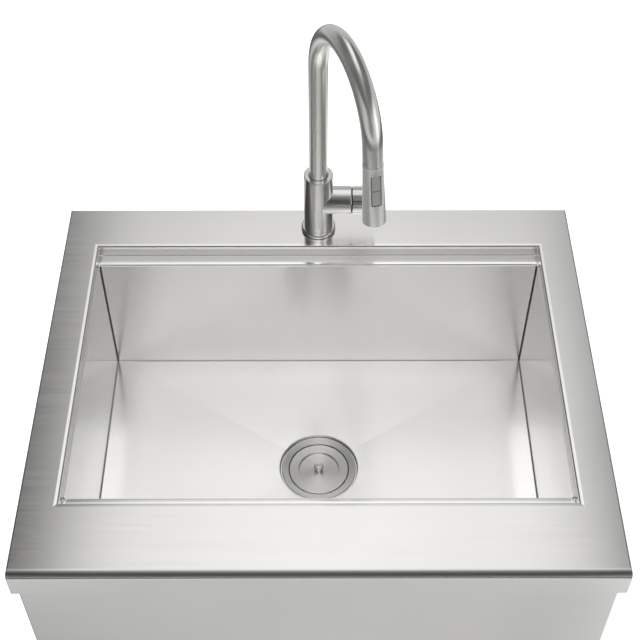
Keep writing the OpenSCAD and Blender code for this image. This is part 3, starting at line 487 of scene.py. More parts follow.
STEEL = brushed("sink steel, brushed", (0.88, 0.876, 0.866), 0.20, 0.80, tone=0.015, smear=0.03,
                relief=0.05)
# Darker copy of the sink steel for the bowl's walls and side plates: painted shade inside the bowl.
BOWL_SHADE = brushed("bowl steel, brushed, painted shade", (0.745, 0.741, 0.729), 0.25, 0.80, tone=0.008, smear=0.014,
               relief=0.04)
# Lighter copy of the bowl steel for the bowl's floor: painted light from above.
BOWL_FLOOR_LIT = brushed("bowl floor steel, brushed, painted light", (0.93, 0.927, 0.917), 0.25, 0.80, tone=0.008,
                     smear=0.014, relief=0.03)
# Lighter copy of the sink steel for the ledges: painted light.
LEDGE_LIT = brushed("ledge steel, brushed, painted light", (0.95, 0.947, 0.938), 0.17, 0.5, tone=0.012, smear=0.03,
                relief=0.03)
# Lighter copy of the bowl steel for the side walls, with a roughness of its own: its colour is painted
# light.
SIDE_LIT = brushed("bowl side steel, brushed, painted light", (0.80, 0.796, 0.783), 0.13, 0.60, tone=0.008, smear=0.01,
               relief=0.02)
# Near-black copy of the bowl steel for the bowl's upright corners: painted shade in the corners.
CORNER_SHADE = brushed("bowl corner steel, painted shade", (0.12, 0.119, 0.116), 0.35, 0.3, tone=0.05, relief=0.05)
# Darker copy of the ledge steel for the ledges' risers: painted shade.
RISER_SHADE = brushed("riser steel, painted shade", (0.62, 0.617, 0.605), 0.32, 0.7, tone=0.02, smear=0.03, relief=0.04)
DRAIN = brushed("drain steel, turned", (0.97, 0.965, 0.95), 0.34, 1.0, 8.0, 2600.0, tone=0.02, smear=0.02)
NICKEL = brushed("tap metal, brushed round", (0.81, 0.807, 0.785), 0.19, 0.88, 10.0, 1500.0, tone=0.01,
                 smear=0.01, relief=0.01, cloud=0.01)
# Lighter, partly matt copy of the tap metal for the spout and the spray button: painted light.
SPOUT_METAL_LIT = brushed("spout metal, satin, painted light", (0.88, 0.877, 0.853), 0.19, 0.88, 10.0, 1500.0, tone=0.01,
                      smear=0.01, relief=0.01, cloud=0.01, metallic=0.84)
# Lighter, more matt copy of the tap metal for the spray head: painted light.
HEAD_METAL_LIT = brushed("spray head metal, satin, painted light", (0.92, 0.917, 0.893), 0.13, 0.88, 10.0, 1500.0,
                     tone=0.01, smear=0.01, relief=0.01, cloud=0.01, metallic=0.70)
MILL = moulded("rolled steel", (0.62, 0.62, 0.61), 0.36, metallic=1.0, grain=160.0)
BRASS = moulded("turned brass", (0.78, 0.62, 0.33), 0.28, metallic=1.0, grain=300.0)
RUBBER = moulded("black rubber", (0.022, 0.022, 0.023), 0.62, grain=500.0, relief=0.25)
GREY_RUBBER = moulded("grey rubber", (0.13, 0.13, 0.135), 0.55, grain=500.0, relief=0.2)
PAD = moulded("sound pad", (0.05, 0.05, 0.052), 0.85, grain=260.0, relief=0.6, distance=0.0005)
WHITE_PLASTIC = moulded("white plastic", (0.80, 0.80, 0.78), 0.36, tone=0.02, grain=420.0, relief=0.06)
GREY_PLASTIC = moulded("grey plastic", (0.33, 0.34, 0.35), 0.40, tone=0.04, grain=420.0, relief=0.08)
DARK_PLASTIC = moulded("dark plastic", (0.045, 0.045, 0.05), 0.42, tone=0.04, grain=420.0, relief=0.08)
CARD = moulded("pressed card", (0.50, 0.38, 0.24), 0.88, tone=0.10, grain=350.0, relief=0.5)
BRAID = woven("hose braid")
BRAID_END = woven("hose braid, straight end", END)


# Deck, bowl and apron

def nose_run(z, r):
    """How far a rounded upper edge of radius r has drawn in at height z below its top."""
    lift = np.clip(z + r, 0, r)
    return r - np.sqrt(r * r - lift * lift)


def deck_levels(inset):
    """Heights of the rings from the skirt's foot up to the flat, dense where the front nose and the side
    edges turn, for the deck drawn in by a distance."""
    top = -inset
    quarter = np.linspace(0, math.pi / 2, 21)
    nose, edge = NOSE_R - inset, EDGE_R - inset
    z = np.concatenate([[SKIRT_Z], top - nose + nose * np.sin(quarter),
                        top - edge + edge * np.sin(quarter[::3])])
    z = np.unique(np.round(z, 4))
    x = OUT_X - inset - nose_run(z - top, edge)
    front = OUT_FRONT + inset + nose_run(z - top, nose)
    back = OUT_BACK - inset - nose_run(z - top, edge)
    return x, front, back, z


def opening_rings(r, reach, support=0.8):
    """The turned-down edge round the opening, from its foot up to the flat: a turn of radius r, then a
    narrow flat that leans in by LEAN and meets the deck. The deck's first ring is a support close by."""
    turn = np.linspace(0, math.pi / 2 - LEAN, 9)
    drop = (EDGE_W - TURN_R) * math.tan(LEAN) + reach
    run = np.concatenate([[0], r - r * np.cos(turn), [EDGE_W - reach, EDGE_W + support - reach]]) + reach
    z = np.concatenate([[-TURN_H], -drop - r + r * np.sin(turn), [-reach, -reach]])
    return HALF_W + run, -(HALF_D + run), HALF_D + run, z


def deck_sheets(side_shift=700):
    """The deck as a closed stack of rectangular rings: opening foot, flat, nose and skirt outside, then
    back up inside a sheet's thickness away. Each of the four sides is a grid of its own, so that the
    mitres between them stay true, and a grain map of its own, a shift from the last side's."""
    outside, inside = deck_levels(0), deck_levels(SHEET)
    lip, under = opening_rings(TURN_R, 0), opening_rings(TURN_R - SHEET, SHEET)
    x, front, back, z = (np.concatenate([a, b[::-1], c, d[::-1]])
                         for a, b, c, d in zip(lip, outside, inside, under))
    run = np.cumsum(np.hypot(np.diff(back), np.diff(z)))
    run = np.concatenate([[0], run, [run[-1] + 3]])
    sheets = []
    for number, (a, b) in enumerate([((-x, front), (x, front)), ((x, front), (x, back)),
                                     ((x, back), (-x, back)), ((-x, back), (-x, front))]):
        grid = np.stack([np.stack([*a, z], -1), np.stack([*b, z], -1)], 1)
        wide = np.concatenate([grid, grid[:1]])
        profile = np.repeat(run[:, None], 2, 1) + side_shift * number
        grain = [wide[..., 0], profile] if number % 2 == 0 else [profile, wide[..., 1]]
        sheets.append(sheet_of(grid, True, False, np.stack(grain, -1), side=number))
    return sheets


def deck_flange(tuck=0.5):
    """The flat return at the skirt's foot, a ring with a notch where the apron passes. It is tucked a
    little into the skirt's sheet."""
    outer, seat = OUT_X - SHEET + tuck, OUT_X - SKIRT_RETURN
    low, back, notch = OUT_FRONT + SHEET - tuck, OUT_BACK - SKIRT_RETURN, APRON_Y + APRON_SIDE
    inner = np.array([(seat, back), (-seat, back), (-seat, notch), (-APRON_X, notch), (-APRON_X, APRON_Y),
                      (APRON_X, APRON_Y), (APRON_X, notch), (seat, notch)])
    edge = np.array([(outer, OUT_BACK - 1), (-outer, OUT_BACK - 1), (-outer, notch + tuck),
                     (-outer, notch - tuck), (-outer, low), (outer, low), (outer, notch - tuck),
                     (outer, notch + tuck)])
    rings = [(edge, SKIRT_Z), (edge, SKIRT_Z + SHEET), (inner, SKIRT_Z + SHEET), (inner, SKIRT_Z)]
    grid = np.stack([np.column_stack([xy, np.full(len(xy), z)]) for xy, z in rings])
    return sheet_of(grid, True, True, side=7)


def rounded_ring(x, y, r, side_points=30):
    """A rectangle with round corners as a ring of points, the same number whatever its size. A corner's
    point is its centre plus r times the direction of its angle, and a side's points are evenly spaced."""
    corner = np.linspace(0, math.pi / 2, 7)
    share = np.linspace(0, 1, side_points)[1:-1, None]
    starts = np.array([(x - r, y), (-x, y - r), (r - x, -y), (x, r - y)])
    ends = np.array([(r - x, y), (-x, r - y), (x - r, -y), (x, y - r)])
    runs = []
    for k, (sx, sy) in enumerate([(1, 1), (-1, 1), (-1, -1), (1, -1)]):
        a = corner + k * math.pi / 2
        arc = np.stack([sx * (x - r) + r * np.cos(a), sy * (y - r) + r * np.sin(a)], -1)
        runs += [arc, starts[k] + share * (ends[k] - starts[k])]
    return np.concatenate(runs)


def floor_height(xy):
    """The pitched floor: it falls to the drain's axis by the lesser of the two shares across and along."""
    return FLOOR_Z - FALL * np.minimum(1 - np.abs(xy[..., 0]) / HALF_W, 1 - np.abs(xy[..., 1]) / BOWL_D)


def bowl_sheets(foot=3.0, rings=15, lip=0.5):
    """The bowl's inner skin: upright rings, a quarter-round foot, then rings that blend along straight
    lines from the wall to the drain's circle on the pitched floor, and the steps of the drain's seat,
    whose lip is a small bevel."""
    rim = rounded_ring(HALF_W, BOWL_D, CORNER_R)
    walls = [np.column_stack([rim, np.full(len(rim), z)]) for z in (WALL_TOP, WALL_MIDDLE, FLOOR_Z + foot)]
    for a in np.linspace(0, math.pi / 2, 6)[1:]:
        inset = foot * (1 - math.cos(a))
        ring = rounded_ring(HALF_W - inset, BOWL_D - inset, max(CORNER_R - inset, 0.4))
        walls.append(np.column_stack([ring, np.full(len(ring), FLOOR_Z + foot - foot * math.sin(a))]))
    wall = np.stack(walls)
    edge = wall[-1][:, :2]
    circle = edge / np.linalg.norm(edge, axis=1)[:, None]
    share = np.linspace(0, 1, rings)[:, None, None] ** 1.15
    floor_xy = (1 - share) * edge + share * circle * (RECESS_R + lip)
    blend = np.clip(np.linspace(0, 3, rings), 0, 1)[:, None]
    floor_z = FLOOR_Z + blend * (floor_height(floor_xy) - FLOOR_Z)
    floor = np.concatenate([floor_xy, floor_z[..., None]], -1)
    lip_z = floor[-1][:, 2]
    level = np.ones(len(lip_z))
    seat = [floor[-1]]
    for r, z in [(RECESS_R + 0.12, lip_z - 0.12), (RECESS_R, lip_z - lip), (RECESS_R, RECESS_Z * level),
                 (DISH_R, RECESS_Z * level), (DISH_R, DISH_Z * level), (HOLE_R, DISH_Z * level)]:
        seat.append(np.column_stack([circle * r, z]))
    seat = np.stack(seat)
    around, up = run_along(np.vstack([rim, rim[:1]])), run_along(wall[:, 0])
    wall_grain = np.stack(np.broadcast_arrays(around[None], up[:, None]), -1)
    return [sheet_of(wall, False, True, wall_grain),
            sheet_of(floor, False, True, closed_round(floor)[..., :2]),
            sheet_of(seat, False, True, closed_round(seat)[..., :2])]


def bowl_plates():
    """The side walls' tops, which run on past the ledges' ends up to the deck's turned edge: two plates
    with the grain from front to back."""
    made = []
    for s in (-1, 1):
        x = sorted((s * HALF_W, s * (HALF_W + SHEET)))
        y = HALF_D + SHEET
        outline = [(x[0], -y), (x[1], -y), (x[1], y), (x[0], y)]
        grid = np.stack([np.column_stack([outline, np.full(4, z)]) for z in (WALL_TOP, -TURN_H)])
        made.append(sheet_of(grid, False, True, closed_round(grid)[..., 1:], both_ends(4)))
    return made


def ledge_sheet(side):
    """A ledge's section, riser, shelf and turned-down inner edge, carried along X."""
    near, far = BOWL_D, HALF_D
    lip = EDGE_W * math.tan(LEAN)
    section = rounded([(far, -TURN_H), (far, LEDGE_Z, 1.0), (near + EDGE_W, LEDGE_Z, 0.5),
                       (near, LEDGE_Z - lip, LEDGE_R), (near, WALL_TOP), (near + SHEET, WALL_TOP),
                       (near + SHEET, LEDGE_Z - SHEET - lip, 0.3), (far + SHEET, LEDGE_Z - SHEET, 1.0),
                       (far + SHEET, -TURN_H)], 8)
    end = HALF_W - LEDGE_GAP
    n = len(section)
    grid = np.stack([np.column_stack([np.full(n, x), side * section[:, 0], section[:, 1]])
                     for x in (-end, end)])
    wide = closed_round(grid)
    grain = np.stack(np.broadcast_arrays(wide[..., 0], run_along(wide[0])[None]), -1)
    return sheet_of(grid, False, True, grain, both_ends(n))


def apron_sheets():
    """The apron's bent sheet, a U in plan, and the narrow return at its foot."""
    x, y, back, lap = APRON_X, APRON_Y, APRON_Y + APRON_SIDE, APRON_RETURN
    outside = [(-x, back), (-x, y, 3), (x, y, 3), (x, back)]
    bent = rounded(outside + [(x - SHEET, back), (x - SHEET, y + SHEET, 1.5), (SHEET - x, y + SHEET, 1.5),
                              (SHEET - x, back)], 8)
    foot = rounded(outside + [(x - lap, back), (x - lap, y + lap), (lap - x, y + lap), (lap - x, back)], 8)
    return [extruded(bent, APRON_FOOT + SHEET, APRON_TOP), extruded(foot, APRON_FOOT, APRON_FOOT + SHEET)]


formed("deck_sheet", deck_sheets() + [deck_flange()], STEEL, "sink_steel", stands_for=["deck"])
skin = formed("bowl_skin", bowl_sheets(), BOWL_SHADE, "sink_steel", stands_for=["bowl"], wall=SHEET,
              recalculate=False)
# The upright corner fillets get the near-black copy: painted shade in the corners.
partly(skin, CORNER_SHADE, lambda spot, way: ((way[0] > 0.1) & (way[1] > 0.1) & (way[2] < 0.5)
                                      & (np.abs(spot[0]) > HALF_W - CORNER_R - 1)))
# The floor's upward faces get the lighter copy: painted light.
partly(skin, BOWL_FLOOR_LIT, lambda spot, way: ((spot[2] < FLOOR_Z) & (spot[2] > RECESS_Z + 1)
                                            & (way[2] > 0.9)))
# The side walls get the lighter copy: painted light.
partly(skin, SIDE_LIT, lambda spot, way: way[0] > 0.999)
formed("bowl_side_plates", bowl_plates(), BOWL_SHADE, "sink_steel", stands_for=["bowl"])
for name, side, node in (("ledge_back", 1, "back_ledge"), ("ledge_front", -1, "front_ledge")):
    ledge = formed(name, [ledge_sheet(side)], LEDGE_LIT, "sink_steel", stands_for=[node])
    # The risers get the darker copy of the ledge steel: painted shade.
    partly(ledge, RISER_SHADE, lambda spot, way: (way[1] > 0.9) & (spot[2] > LEDGE_Z + 0.5))
formed("apron_sheet", apron_sheets(), STEEL, "sink_steel", stands_for=["apron"])


# Drain

# Profiles as (radius, height, rounding)
strainer = rounded([(53.1, FLANGE_Z - 2, 0.2), (53.1, FLANGE_Z - 0.6, 0.4), (52.1, FLANGE_Z, 0.5),
                    (50.2, FLANGE_Z - 0.35, 4), (43.4, MOUTH_Z + 1.6, 0.8), (MOUTH_R, MOUTH_Z - 1.2, 0.6),
                    (MOUTH_R, CONE_Z, 4), (21, OUTLET_Z, 4), (21, CUP_FOOT), (23.6, CUP_FOOT),
                    (23.6, OUTLET_Z - 0.6, 3), (43.9, CONE_Z - 0.6, 3), (43.9, MOUTH_Z - 1.8, 1),
                    (52.1, FLANGE_Z - 2, 1)], 6)
seal = rounded([(HOLE_R, RECESS_Z, 0.2), (56.4, RECESS_Z, 0.3), (56.4, FLANGE_Z - 1.4, 0.5),
                (HOLE_R, FLANGE_Z - 2.1, 0.2)], 4)
cap = rounded([(3.1, -242.9), (27.6, -244.7, 0.8), (29.0, DISC_Z, 0.6), (41.5, DISC_Z, 0.5),
               (41.8, DISC_Z - 0.7, 0.3), (41.5, DISC_Z - 1.4, 0.3), (29.9, DISC_Z - 1, 0.6),
               (28.4, -245.7, 0.8), (3.1, -243.9)], 4)
post = rounded([(0, -275.1), (5.5, -275.1, 0.5), (5.5, -272.1), (3, -272.1), (3, -242.9), (4.6, -242.8, 0.4),
                (3.6, -240.3, 0.8), (6.2, -237.1, 1.2), (7, -235.7, 0.6), (7, -234.3, 0.8),
                (5.8, -233.1, 0.8), (2.2, -233.4, 0.5), (1.6, -234.1, 0.4), (0, -234.1)], 4, closed=False)
formed("strainer_cup", [lathed(strainer, turns=160)], DRAIN, "strainer_steel", stands_for=["strainer_body"])
formed("flange_ring_seal", [lathed(seal, turns=160)], RUBBER, "rubber_black", stands_for=["flange_seal"])
formed("cover_disc", [lathed(cap, turns=160)], DRAIN, "strainer_steel", "basket", ["basket_cap"])
formed("knob_and_post", [lathed(post, turns=96, closed=False)], DRAIN, "strainer_steel", "basket",
       ["basket_post"])


# Tap

def carried(radius_out, radius_in, foot, end, turns=96):
    """A round tube carried up the riser, over the arch and into the straight end: each point is the path's
    point plus the radius times a direction in the plane across it. An inner radius of zero makes a rod."""
    arch = np.radians(np.linspace(0, ARCH_A, 97))
    path = np.stack([ARCH_R * (1 - np.cos(arch)), 0 * arch, RISER_Z + ARCH_R * np.sin(arch)], -1)
    across = np.stack([np.cos(arch), 0 * arch, -np.sin(arch)], -1)
    along = np.array([math.sin(arch[-1]), 0, math.cos(arch[-1])])
    path = np.concatenate([[(0, 0, foot)], path, [path[-1] + along * end]])
    across = np.concatenate([across[:1], across, across[-1:]])
    a = np.linspace(0, 2 * math.pi, turns, endpoint=False)[None, :, None]
    ring = np.cos(a) * across[:, None] + np.sin(a) * np.array([0, 1.0, 0])
    outer = path[:, None] + radius_out * ring
    if radius_in:
        inner = path[:, None] + radius_in * ring
        return sheet_of(placed(np.concatenate([outer, inner[::-1]]), SPOUT), True, True)
    ends = np.repeat(path[[0, -1], None], turns, 1)
    return sheet_of(placed(np.concatenate([ends[:1], outer, ends[1:]]), SPOUT), False, True)


formed("spout", [carried(TUBE_R, BORE_R, TUBE_FOOT, HEAD_S - 0.3)], SPOUT_METAL_LIT, "tap_nickel", "spout",
       ["spout_tube"])
formed("hose_in_spout", [carried(HOSE_R, 0, HOSE_FOOT, 0, 48)], BRAID, "hose_braid", "spout",
       ["spray_hose"])
levels = np.linspace(-0.5, HOSE_END, 25)
straight = lathed([(0, levels[0]), *((HOSE_R - 0.01, s) for s in levels), (0, HOSE_END)], END, 48, False)
hose_end = formed("hose_at_end", [straight], BRAID_END, "hose_braid", None, ["spray_hose"])
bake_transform(hose_end)

base = rounded([(16.8, 0.8), (24, 0.8, 0.2), (24, 6, 2), (16.8, 6, 0.3)], 6)
collar = rounded([(13.5, 97), (20.15, 97, 0.15), (20.15, 102, 0.9), (13.5, 102, 0.5)], 5)
ring = rounded([(8.65, HEAD_S), (CASING_R, HEAD_S, 0.5), (CASING_R, CASING_S, 0.5), (8.65, CASING_S)], 5)
lever = rounded([(0, 58.5), (4.5, 58.5), (4.5, 73), (3.6, 161.4), (3.6, 165, 3.4), (0, 165)], 10,
                closed=False)
formed("base_ring", [lathed(base, TAP)], NICKEL, "tap_nickel", stands_for=["base_flange"])
piece("body", copied("body", "faucet_body", TAP), NICKEL, "tap_nickel", "root", ["faucet_body"], 0.5, 3)
formed("top_collar", [lathed(collar, TAP)], NICKEL, "tap_nickel", stands_for=["body_collar"])
piece("hub", copied("hub", "handle_hub", VALVE), NICKEL, "tap_nickel", "handle", ["handle_hub"], 0.5, 3)
formed("lever_rod", [lathed(lever, LEVER, 64, False)], NICKEL, "tap_nickel", "handle", ["lever"])
formed("head_ring", [lathed(ring, HEAD)], HEAD_METAL_LIT, "tap_nickel", "spray_head", ["head_collar"])
piece("head_casing", copied("head_casing", "head_shell", HEAD), HEAD_METAL_LIT, "tap_nickel", "spray_head",
      ["head_shell"], 0.5)
piece("spray_switch", flat_faced(copied("spray_switch", "spray_button", HEAD), HEAD), SPOUT_METAL_LIT,
      "tap_nickel", "spray_button", ["spray_button"], 0.4)


# Fittings

# Name of the piece, node, finish, slot, body, place whose axis its grain goes round, bevel
FITTINGS = [
    ("under_gasket_ring", "under_gasket", RUBBER, "rubber_black", "root", PLAIN, 0.4),
    ("slip_ring", "friction_ring", CARD, "card", "root", PLAIN, 0.15),
    ("lock_nut_cast", "lock_nut", MILL, "plain_steel", "root", PLAIN, 0.6),
    ("tail_washer", "tailpiece_washer", WHITE_PLASTIC, "plastic_white", "root", PLAIN, 0.3),
    ("slip_nut", "coupling_nut", MILL, "plain_steel", "root", PLAIN, 0.7),
    ("tail_tube", "tailpiece", DRAIN, "strainer_steel", "root", PLAIN, 0.2),
    ("strainer_basket", "basket_cup", MILL, "strainer_steel", "basket", PLAIN, 0.15),
    ("stopper", "basket_seal", RUBBER, "rubber_black", "basket", PLAIN, 0.3),
    ("foot_gasket", "base_gasket", RUBBER, "rubber_black", "root", TAP, 0.15),
    ("threaded_shank", "shank", BRASS, "turned_brass", "root", TAP, 0.3),
    ("soft_washer", "rubber_washer", RUBBER, "rubber_black", "root", TAP, 0.4),
    ("steel_washer", "mounting_washer", MILL, "plain_steel", "root", TAP, 0.3),
    ("ring_nut", "mounting_nut", BRASS, "turned_brass", "root", TAP, 0.6),
    ("ring_nut_screws", "nut_screws", MILL, "plain_steel", "root", None, 0.3),
    ("inlet_plug", "inlet_manifold", BRASS, "turned_brass", "root", TAP, 0.3),
    ("spout_bushing", "swivel_bushing", WHITE_PLASTIC, "plastic_white", "root", TAP, 0.15),
    ("spout_o_rings", "swivel_o_rings", RUBBER, "rubber_black", "root", TAP, 0.5),
    ("mixing_cartridge", "cartridge", GREY_PLASTIC, "plastic_grey", "root", VALVE, 0.4),
    ("ceramic_seat", "ceramic_disc", WHITE_PLASTIC, "plastic_white", "root", VALVE, 0.2),
    ("cartridge_ring_nut", "cartridge_nut", BRASS, "turned_brass", "root", VALVE, 0.4),
    ("rotor", "cartridge_rotor", WHITE_PLASTIC, "plastic_white", "handle_turn", VALVE, 0.3),
    ("pivot_pin", "tilt_pin", MILL, "plain_steel", "handle_turn", None, 0.2),
    ("stem", "cartridge_stem", BRASS, "turned_brass", "handle", VALVE, 0.3),
    ("hub_set_screw", "lever_set_screw", MILL, "plain_steel", "handle", None, 0.3),
    ("dock_guide", "dock_bushing", DARK_PLASTIC, "plastic_dark", "spout", END, 0.2),
    ("hose_coupling", "hose_connector", BRASS, "turned_brass", "hose_end", END, 0.4),
    ("waterway", "head_core", WHITE_PLASTIC, "plastic_white", "spray_head", HEAD, 0.25),
    ("spray_face", "nozzle_plate", GREY_PLASTIC, "plastic_grey", "spray_head", HEAD, 0.3),
    ("soft_nozzles", "spray_nozzles", GREY_RUBBER, "rubber_grey", "spray_head", HEAD, 0.2),
    ("stream_insert", "aerator", GREY_PLASTIC, "plastic_grey", "spray_head", HEAD, 0.25),
    ("switch_pin", "button_pin", MILL, "plain_steel", "spray_head", None, 0.15),
    ("clip_channel_pair", "clip_channels", MILL, "plain_steel", "root", None, 0.3),
    ("clip_bolt_set", "clip_bolts", MILL, "plain_steel", "root", None, 0.3),
    ("clip_plate_set", "clip_plates", MILL, "plain_steel", "root", None, 0.4),
    ("clip_nut_set", "clip_nuts", MILL, "plain_steel", "root", None, 0.4),
    ("apron_bracket_pair", "apron_brackets", MILL, "plain_steel", "root", None, 0.4),
    ("sound_pad_set", "sound_pads", PAD, "pad_rubber", "root", None, 0.8),
    ("deck_stiffener", "faucet_stiffener", MILL, "plain_steel", "root", None, 0.4),
]
for name, node, finish, slot, body, place, bevel in FITTINGS:
    piece(name, copied(name, node, place), finish, slot, body, [node], bevel)


# Stage, light and camera

def steps(tree, value, low, high, stops, headroom=2.0):
    """A brightness by a value from low to high: straight runs between (value, brightness) stops. The ramp
    holds levels up to 1, so they are kept in it as shares of the headroom."""
    made = put(tree, "ShaderNodeValToRGB", {"Fac": spread(tree, value, low, high)})
    ramp = made.color_ramp
    while len(ramp.elements) < len(stops):
        ramp.elements.new(0.5)
    for element, (at, _) in zip(ramp.elements, stops):
        element.position = (at - low) / (high - low)
    for element, (_, level) in zip(ramp.elements, stops):
        element.color = (level / headroom, level / headroom, level / headroom, 1)
    return times(tree, made.outputs[0], headroom)


def angle_of(tree, up, ahead):
    """The angle in degrees of a direction in one plane."""
    return times(tree, combined(tree, "ARCTAN2", up, ahead), 180 / math.pi)


def glow_of(tree, kind, colour, strength):
    """A Background or Emission shader's output."""
    return output_of(tree, kind, {"Color": (*colour, 1), "Strength": strength})


def either(tree, switch, off, on):
    """One of two shaders by a switch of 0 or 1."""
    return output_of(tree, "ShaderNodeMixShader", {0: switch, 1: off, 2: on})


# The floor, in millimetres
FLOOR_SIZE, STAGE_Z = 6000.0, -412.4
# The camera, as fitted to the photograph: yaw, pitch and roll, its place in metres, and its lens and sensor
# in millimetres
CAMERA_TURN = tuple(math.radians(a) for a in (0.121, 49.249, 0.017))
CAMERA_AT, LENS, SENSOR = (-0.0004, -1.0060, 1.2534), 70.03, 36.0
# Brightness of the studio overhead by the angle in the YZ plane, from behind the sink over the top
OVER = [(-180, 0.08), (0, 0.16), (28, 0.20), (35, 0.34), (39, 0.64), (45, 0.86), (50, 0.98), (58, 1.16),
        (64, 1.12), (76, 1.00), (88, 1.00), (96, 0.56), (103, 0.30), (115, 0.20), (130, 0.12),
        (150, 0.04), (180, 0.03)]
# Its share by the direction's X
ACROSS = [(-1, 0.04), (-0.45, 0.08), (-0.25, 0.20), (-0.225, 0.50), (-0.208, 0.84), (-0.193, 0.90),
          (-0.17, 0.90), (-0.1, 0.91), (-0.04, 1.0), (0.04, 1.0), (0.1, 0.94), (0.17, 0.92), (0.20, 0.92),
          (0.222, 0.84), (0.245, 0.50), (0.275, 0.20), (0.45, 0.08), (1, 0.04)]
# Brightness low down by the bearing from the camera's side, right positive
ROUND = [(-180, 0.55), (-142, 0.40), (-115, 0.14), (-98, 0.08), (-80, 0.08), (-68, 0.20), (-52, 0.42),
         (-37, 0.60), (-24, 0.45), (-14, 0.11), (12, 0.11), (22, 0.45), (37, 0.62), (46, 0.85), (56, 1.30),
         (68, 1.40), (80, 0.80), (90, 0.50), (115, 0.40), (142, 0.45), (180, 0.55)]
# Brightness of light that has met two surfaces or more, by the same bearing
AGAIN = [(-180, 1.35), (-162, 1.35), (-148, 0.50), (-132, 0.08), (-85, 0.06), (-70, 0.16), (-53, 0.32),
         (-37, 0.60), (-26, 0.80), (-17, 0.96), (0, 1.02), (14, 0.98), (21, 0.80), (28, 0.46), (35, 0.42),
         (43, 0.70), (50, 1.25), (58, 1.20), (66, 0.60), (74, 0.20), (90, 0.08), (132, 0.08), (148, 0.50),
         (162, 1.10), (180, 1.35)]
# Brightness of the floor in reflections by the same bearing
POOL = [(-180, 0.60), (-142, 0.50), (-115, 0.24), (-98, 0.06), (-80, 0.06), (-63, 0.32), (-50, 0.46),
        (-37, 0.56), (-20, 0.60), (0, 0.62), (28, 0.63), (36, 0.58), (44, 0.66), (54, 1.15),
        (66, 1.25), (78, 0.80), (90, 0.50), (115, 0.60), (142, 0.70), (180, 0.70)]


def studio_world():
    """Soft studio light by direction: soft boxes overhead, whose bands lag toward the sides, darker corners
    and a bright strip at the right. Light that has met two surfaces or more has a fill of its own. The
    camera sees plain white behind the object, and matt surfaces get an even light."""
    world = bpy.data.worlds.new("studio")
    bpy.context.scene.world = world
    world.use_nodes = True
    tree = world.node_tree
    direction = put(tree, "ShaderNodeTexCoord").outputs["Generated"]
    x, y, z = put(tree, "ShaderNodeSeparateXYZ", {0: direction}).outputs
    wide = combined(tree, "MAXIMUM", times(tree, x, -1.0), times(tree, x, 0.86))
    lag = times(tree, spread(tree, wide, 0.15, 0.25, 0.0, 38.0), spread(tree, y, 0.0, 0.3))
    over = steps(tree, combined(tree, "SUBTRACT", angle_of(tree, z, y), lag), -180, 180, OVER)
    high = times(tree, over, steps(tree, x, -1, 1, ACROSS))
    bearing = angle_of(tree, x, times(tree, y, -1.0))
    low = steps(tree, bearing, -180, 180, ROUND)
    lift = spread(tree, z, 0.32, 0.52)
    down = combined(tree, "SUBTRACT", 1.0, lift)
    once = combined(tree, "ADD", times(tree, high, lift), times(tree, low, down))
    path = put(tree, "ShaderNodeLightPath").outputs
    again = combined(tree, "GREATER_THAN", path["Ray Depth"], 2.5)
    fill = times(tree, steps(tree, bearing, -180, 180, AGAIN), spread(tree, z, 0.80, 0.85, 0.74, 1.95))
    total = output_of(tree, "ShaderNodeMix", {"Factor": again, "A": once, "B": fill})
    background = "ShaderNodeBackground"
    light = glow_of(tree, background, (1.0, 0.994, 0.984), total)
    matt = either(tree, path["Is Diffuse Ray"], light, glow_of(tree, background, (1, 1, 1), 0.85))
    seen = either(tree, path["Is Camera Ray"], matt, glow_of(tree, background, (1, 1, 1), 1.0))
    tree.links.new(seen, tree.nodes["World Output"].inputs[0])


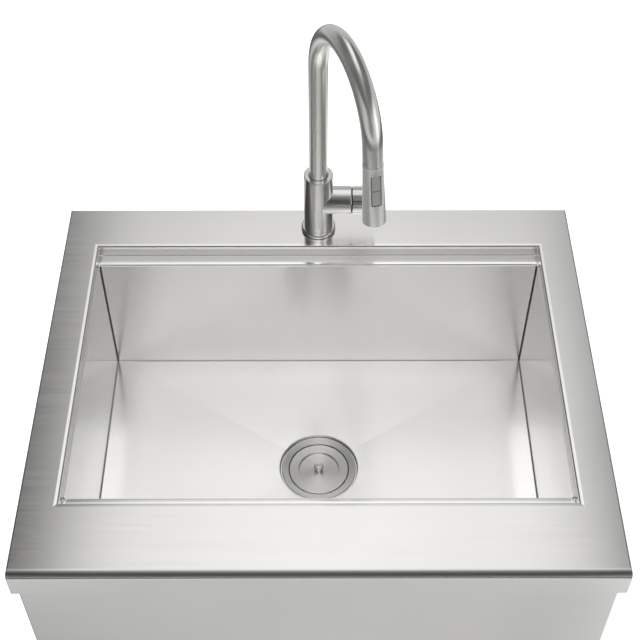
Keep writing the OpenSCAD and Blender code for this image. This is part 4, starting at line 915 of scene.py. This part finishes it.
def stage_floor():
    """A plain pale floor. The camera sees it white, with the object's shadow kept, reflections see a pool
    of light round the sink that fades outward, and from below it is clear."""
    mesh = bpy.data.meshes.new("stage_floor")
    ends = ((-FLOOR_SIZE, -FLOOR_SIZE), (FLOOR_SIZE, -FLOOR_SIZE), (FLOOR_SIZE, FLOOR_SIZE),
            (-FLOOR_SIZE, FLOOR_SIZE))
    mesh.from_pydata([(x * MM, y * MM, STAGE_Z * MM) for x, y in ends], [], [(0, 1, 2, 3)])
    made, tree, shader = finish_named("stage floor")
    shader.inputs["Base Color"].default_value = (0.80, 0.80, 0.79, 1)
    shader.inputs["Roughness"].default_value = 0.9
    shader.inputs["Specular IOR Level"].default_value = 0.0
    where = object_place(tree)
    x, y, _ = put(tree, "ShaderNodeSeparateXYZ", {0: where}).outputs
    bearing = angle_of(tree, x, times(tree, y, -1.0))
    reach = put(tree, "ShaderNodeVectorMath", {0: where}, operation="LENGTH").outputs["Value"]
    rise, fall = spread(tree, reach, 0.76, 0.88, 0.94, 1.40), spread(tree, reach, 0.98, 1.32, 1.0, 0.02)
    near = times(tree, rise, fall)
    ring = combined(tree, "MAXIMUM", near, spread(tree, reach, 2.2, 2.6, 0.02, 1.0))
    pool = times(tree, steps(tree, bearing, -180, 180, POOL), ring)
    emission = "ShaderNodeEmission"
    plain = output_of(tree, "ShaderNodeAddShader", {0: shader.outputs[0],
                                                    1: glow_of(tree, emission, (1, 1, 1), 0.75)})
    glossy = put(tree, "ShaderNodeLightPath").outputs["Is Glossy Ray"]
    shown = either(tree, glossy, plain, glow_of(tree, emission, (1, 0.995, 0.985), pool))
    below = put(tree, "ShaderNodeNewGeometry").outputs["Backfacing"]
    sided = either(tree, below, shown, output_of(tree, "ShaderNodeBsdfTransparent"))
    tree.links.new(sided, tree.nodes["Material Output"].inputs[0])
    mesh.materials.append(made)
    floor = bpy.data.objects.new("stage_floor", mesh)
    bpy.context.scene.collection.objects.link(floor)


def studio_camera():
    """The photograph's camera: 70 mm on a 36 mm square, in front of the sink, looking down at 49 degrees."""
    yaw, pitch, roll = CAMERA_TURN
    ahead = np.array([math.sin(yaw) * math.cos(pitch), math.cos(yaw) * math.cos(pitch), -math.sin(pitch)])
    level = np.array([math.cos(yaw), -math.sin(yaw), 0])
    upright = np.cross(level, ahead)
    place = np.eye(4)
    place[:3, 0] = math.cos(roll) * level + math.sin(roll) * upright
    place[:3, 1] = math.cos(roll) * upright - math.sin(roll) * level
    place[:3, 2], place[:3, 3] = -ahead, CAMERA_AT
    lens = bpy.data.cameras.new("camera")
    lens.lens, lens.sensor_width, lens.clip_start, lens.clip_end = LENS, SENSOR, 0.05, 60.0
    camera = bpy.data.objects.new("camera", lens)
    bpy.context.scene.collection.objects.link(camera)
    camera.matrix_world = Matrix(place.tolist())
    bpy.context.scene.camera = camera


stage_floor()
studio_world()
studio_camera()
bpy.context.scene.view_settings.view_transform = "Standard"
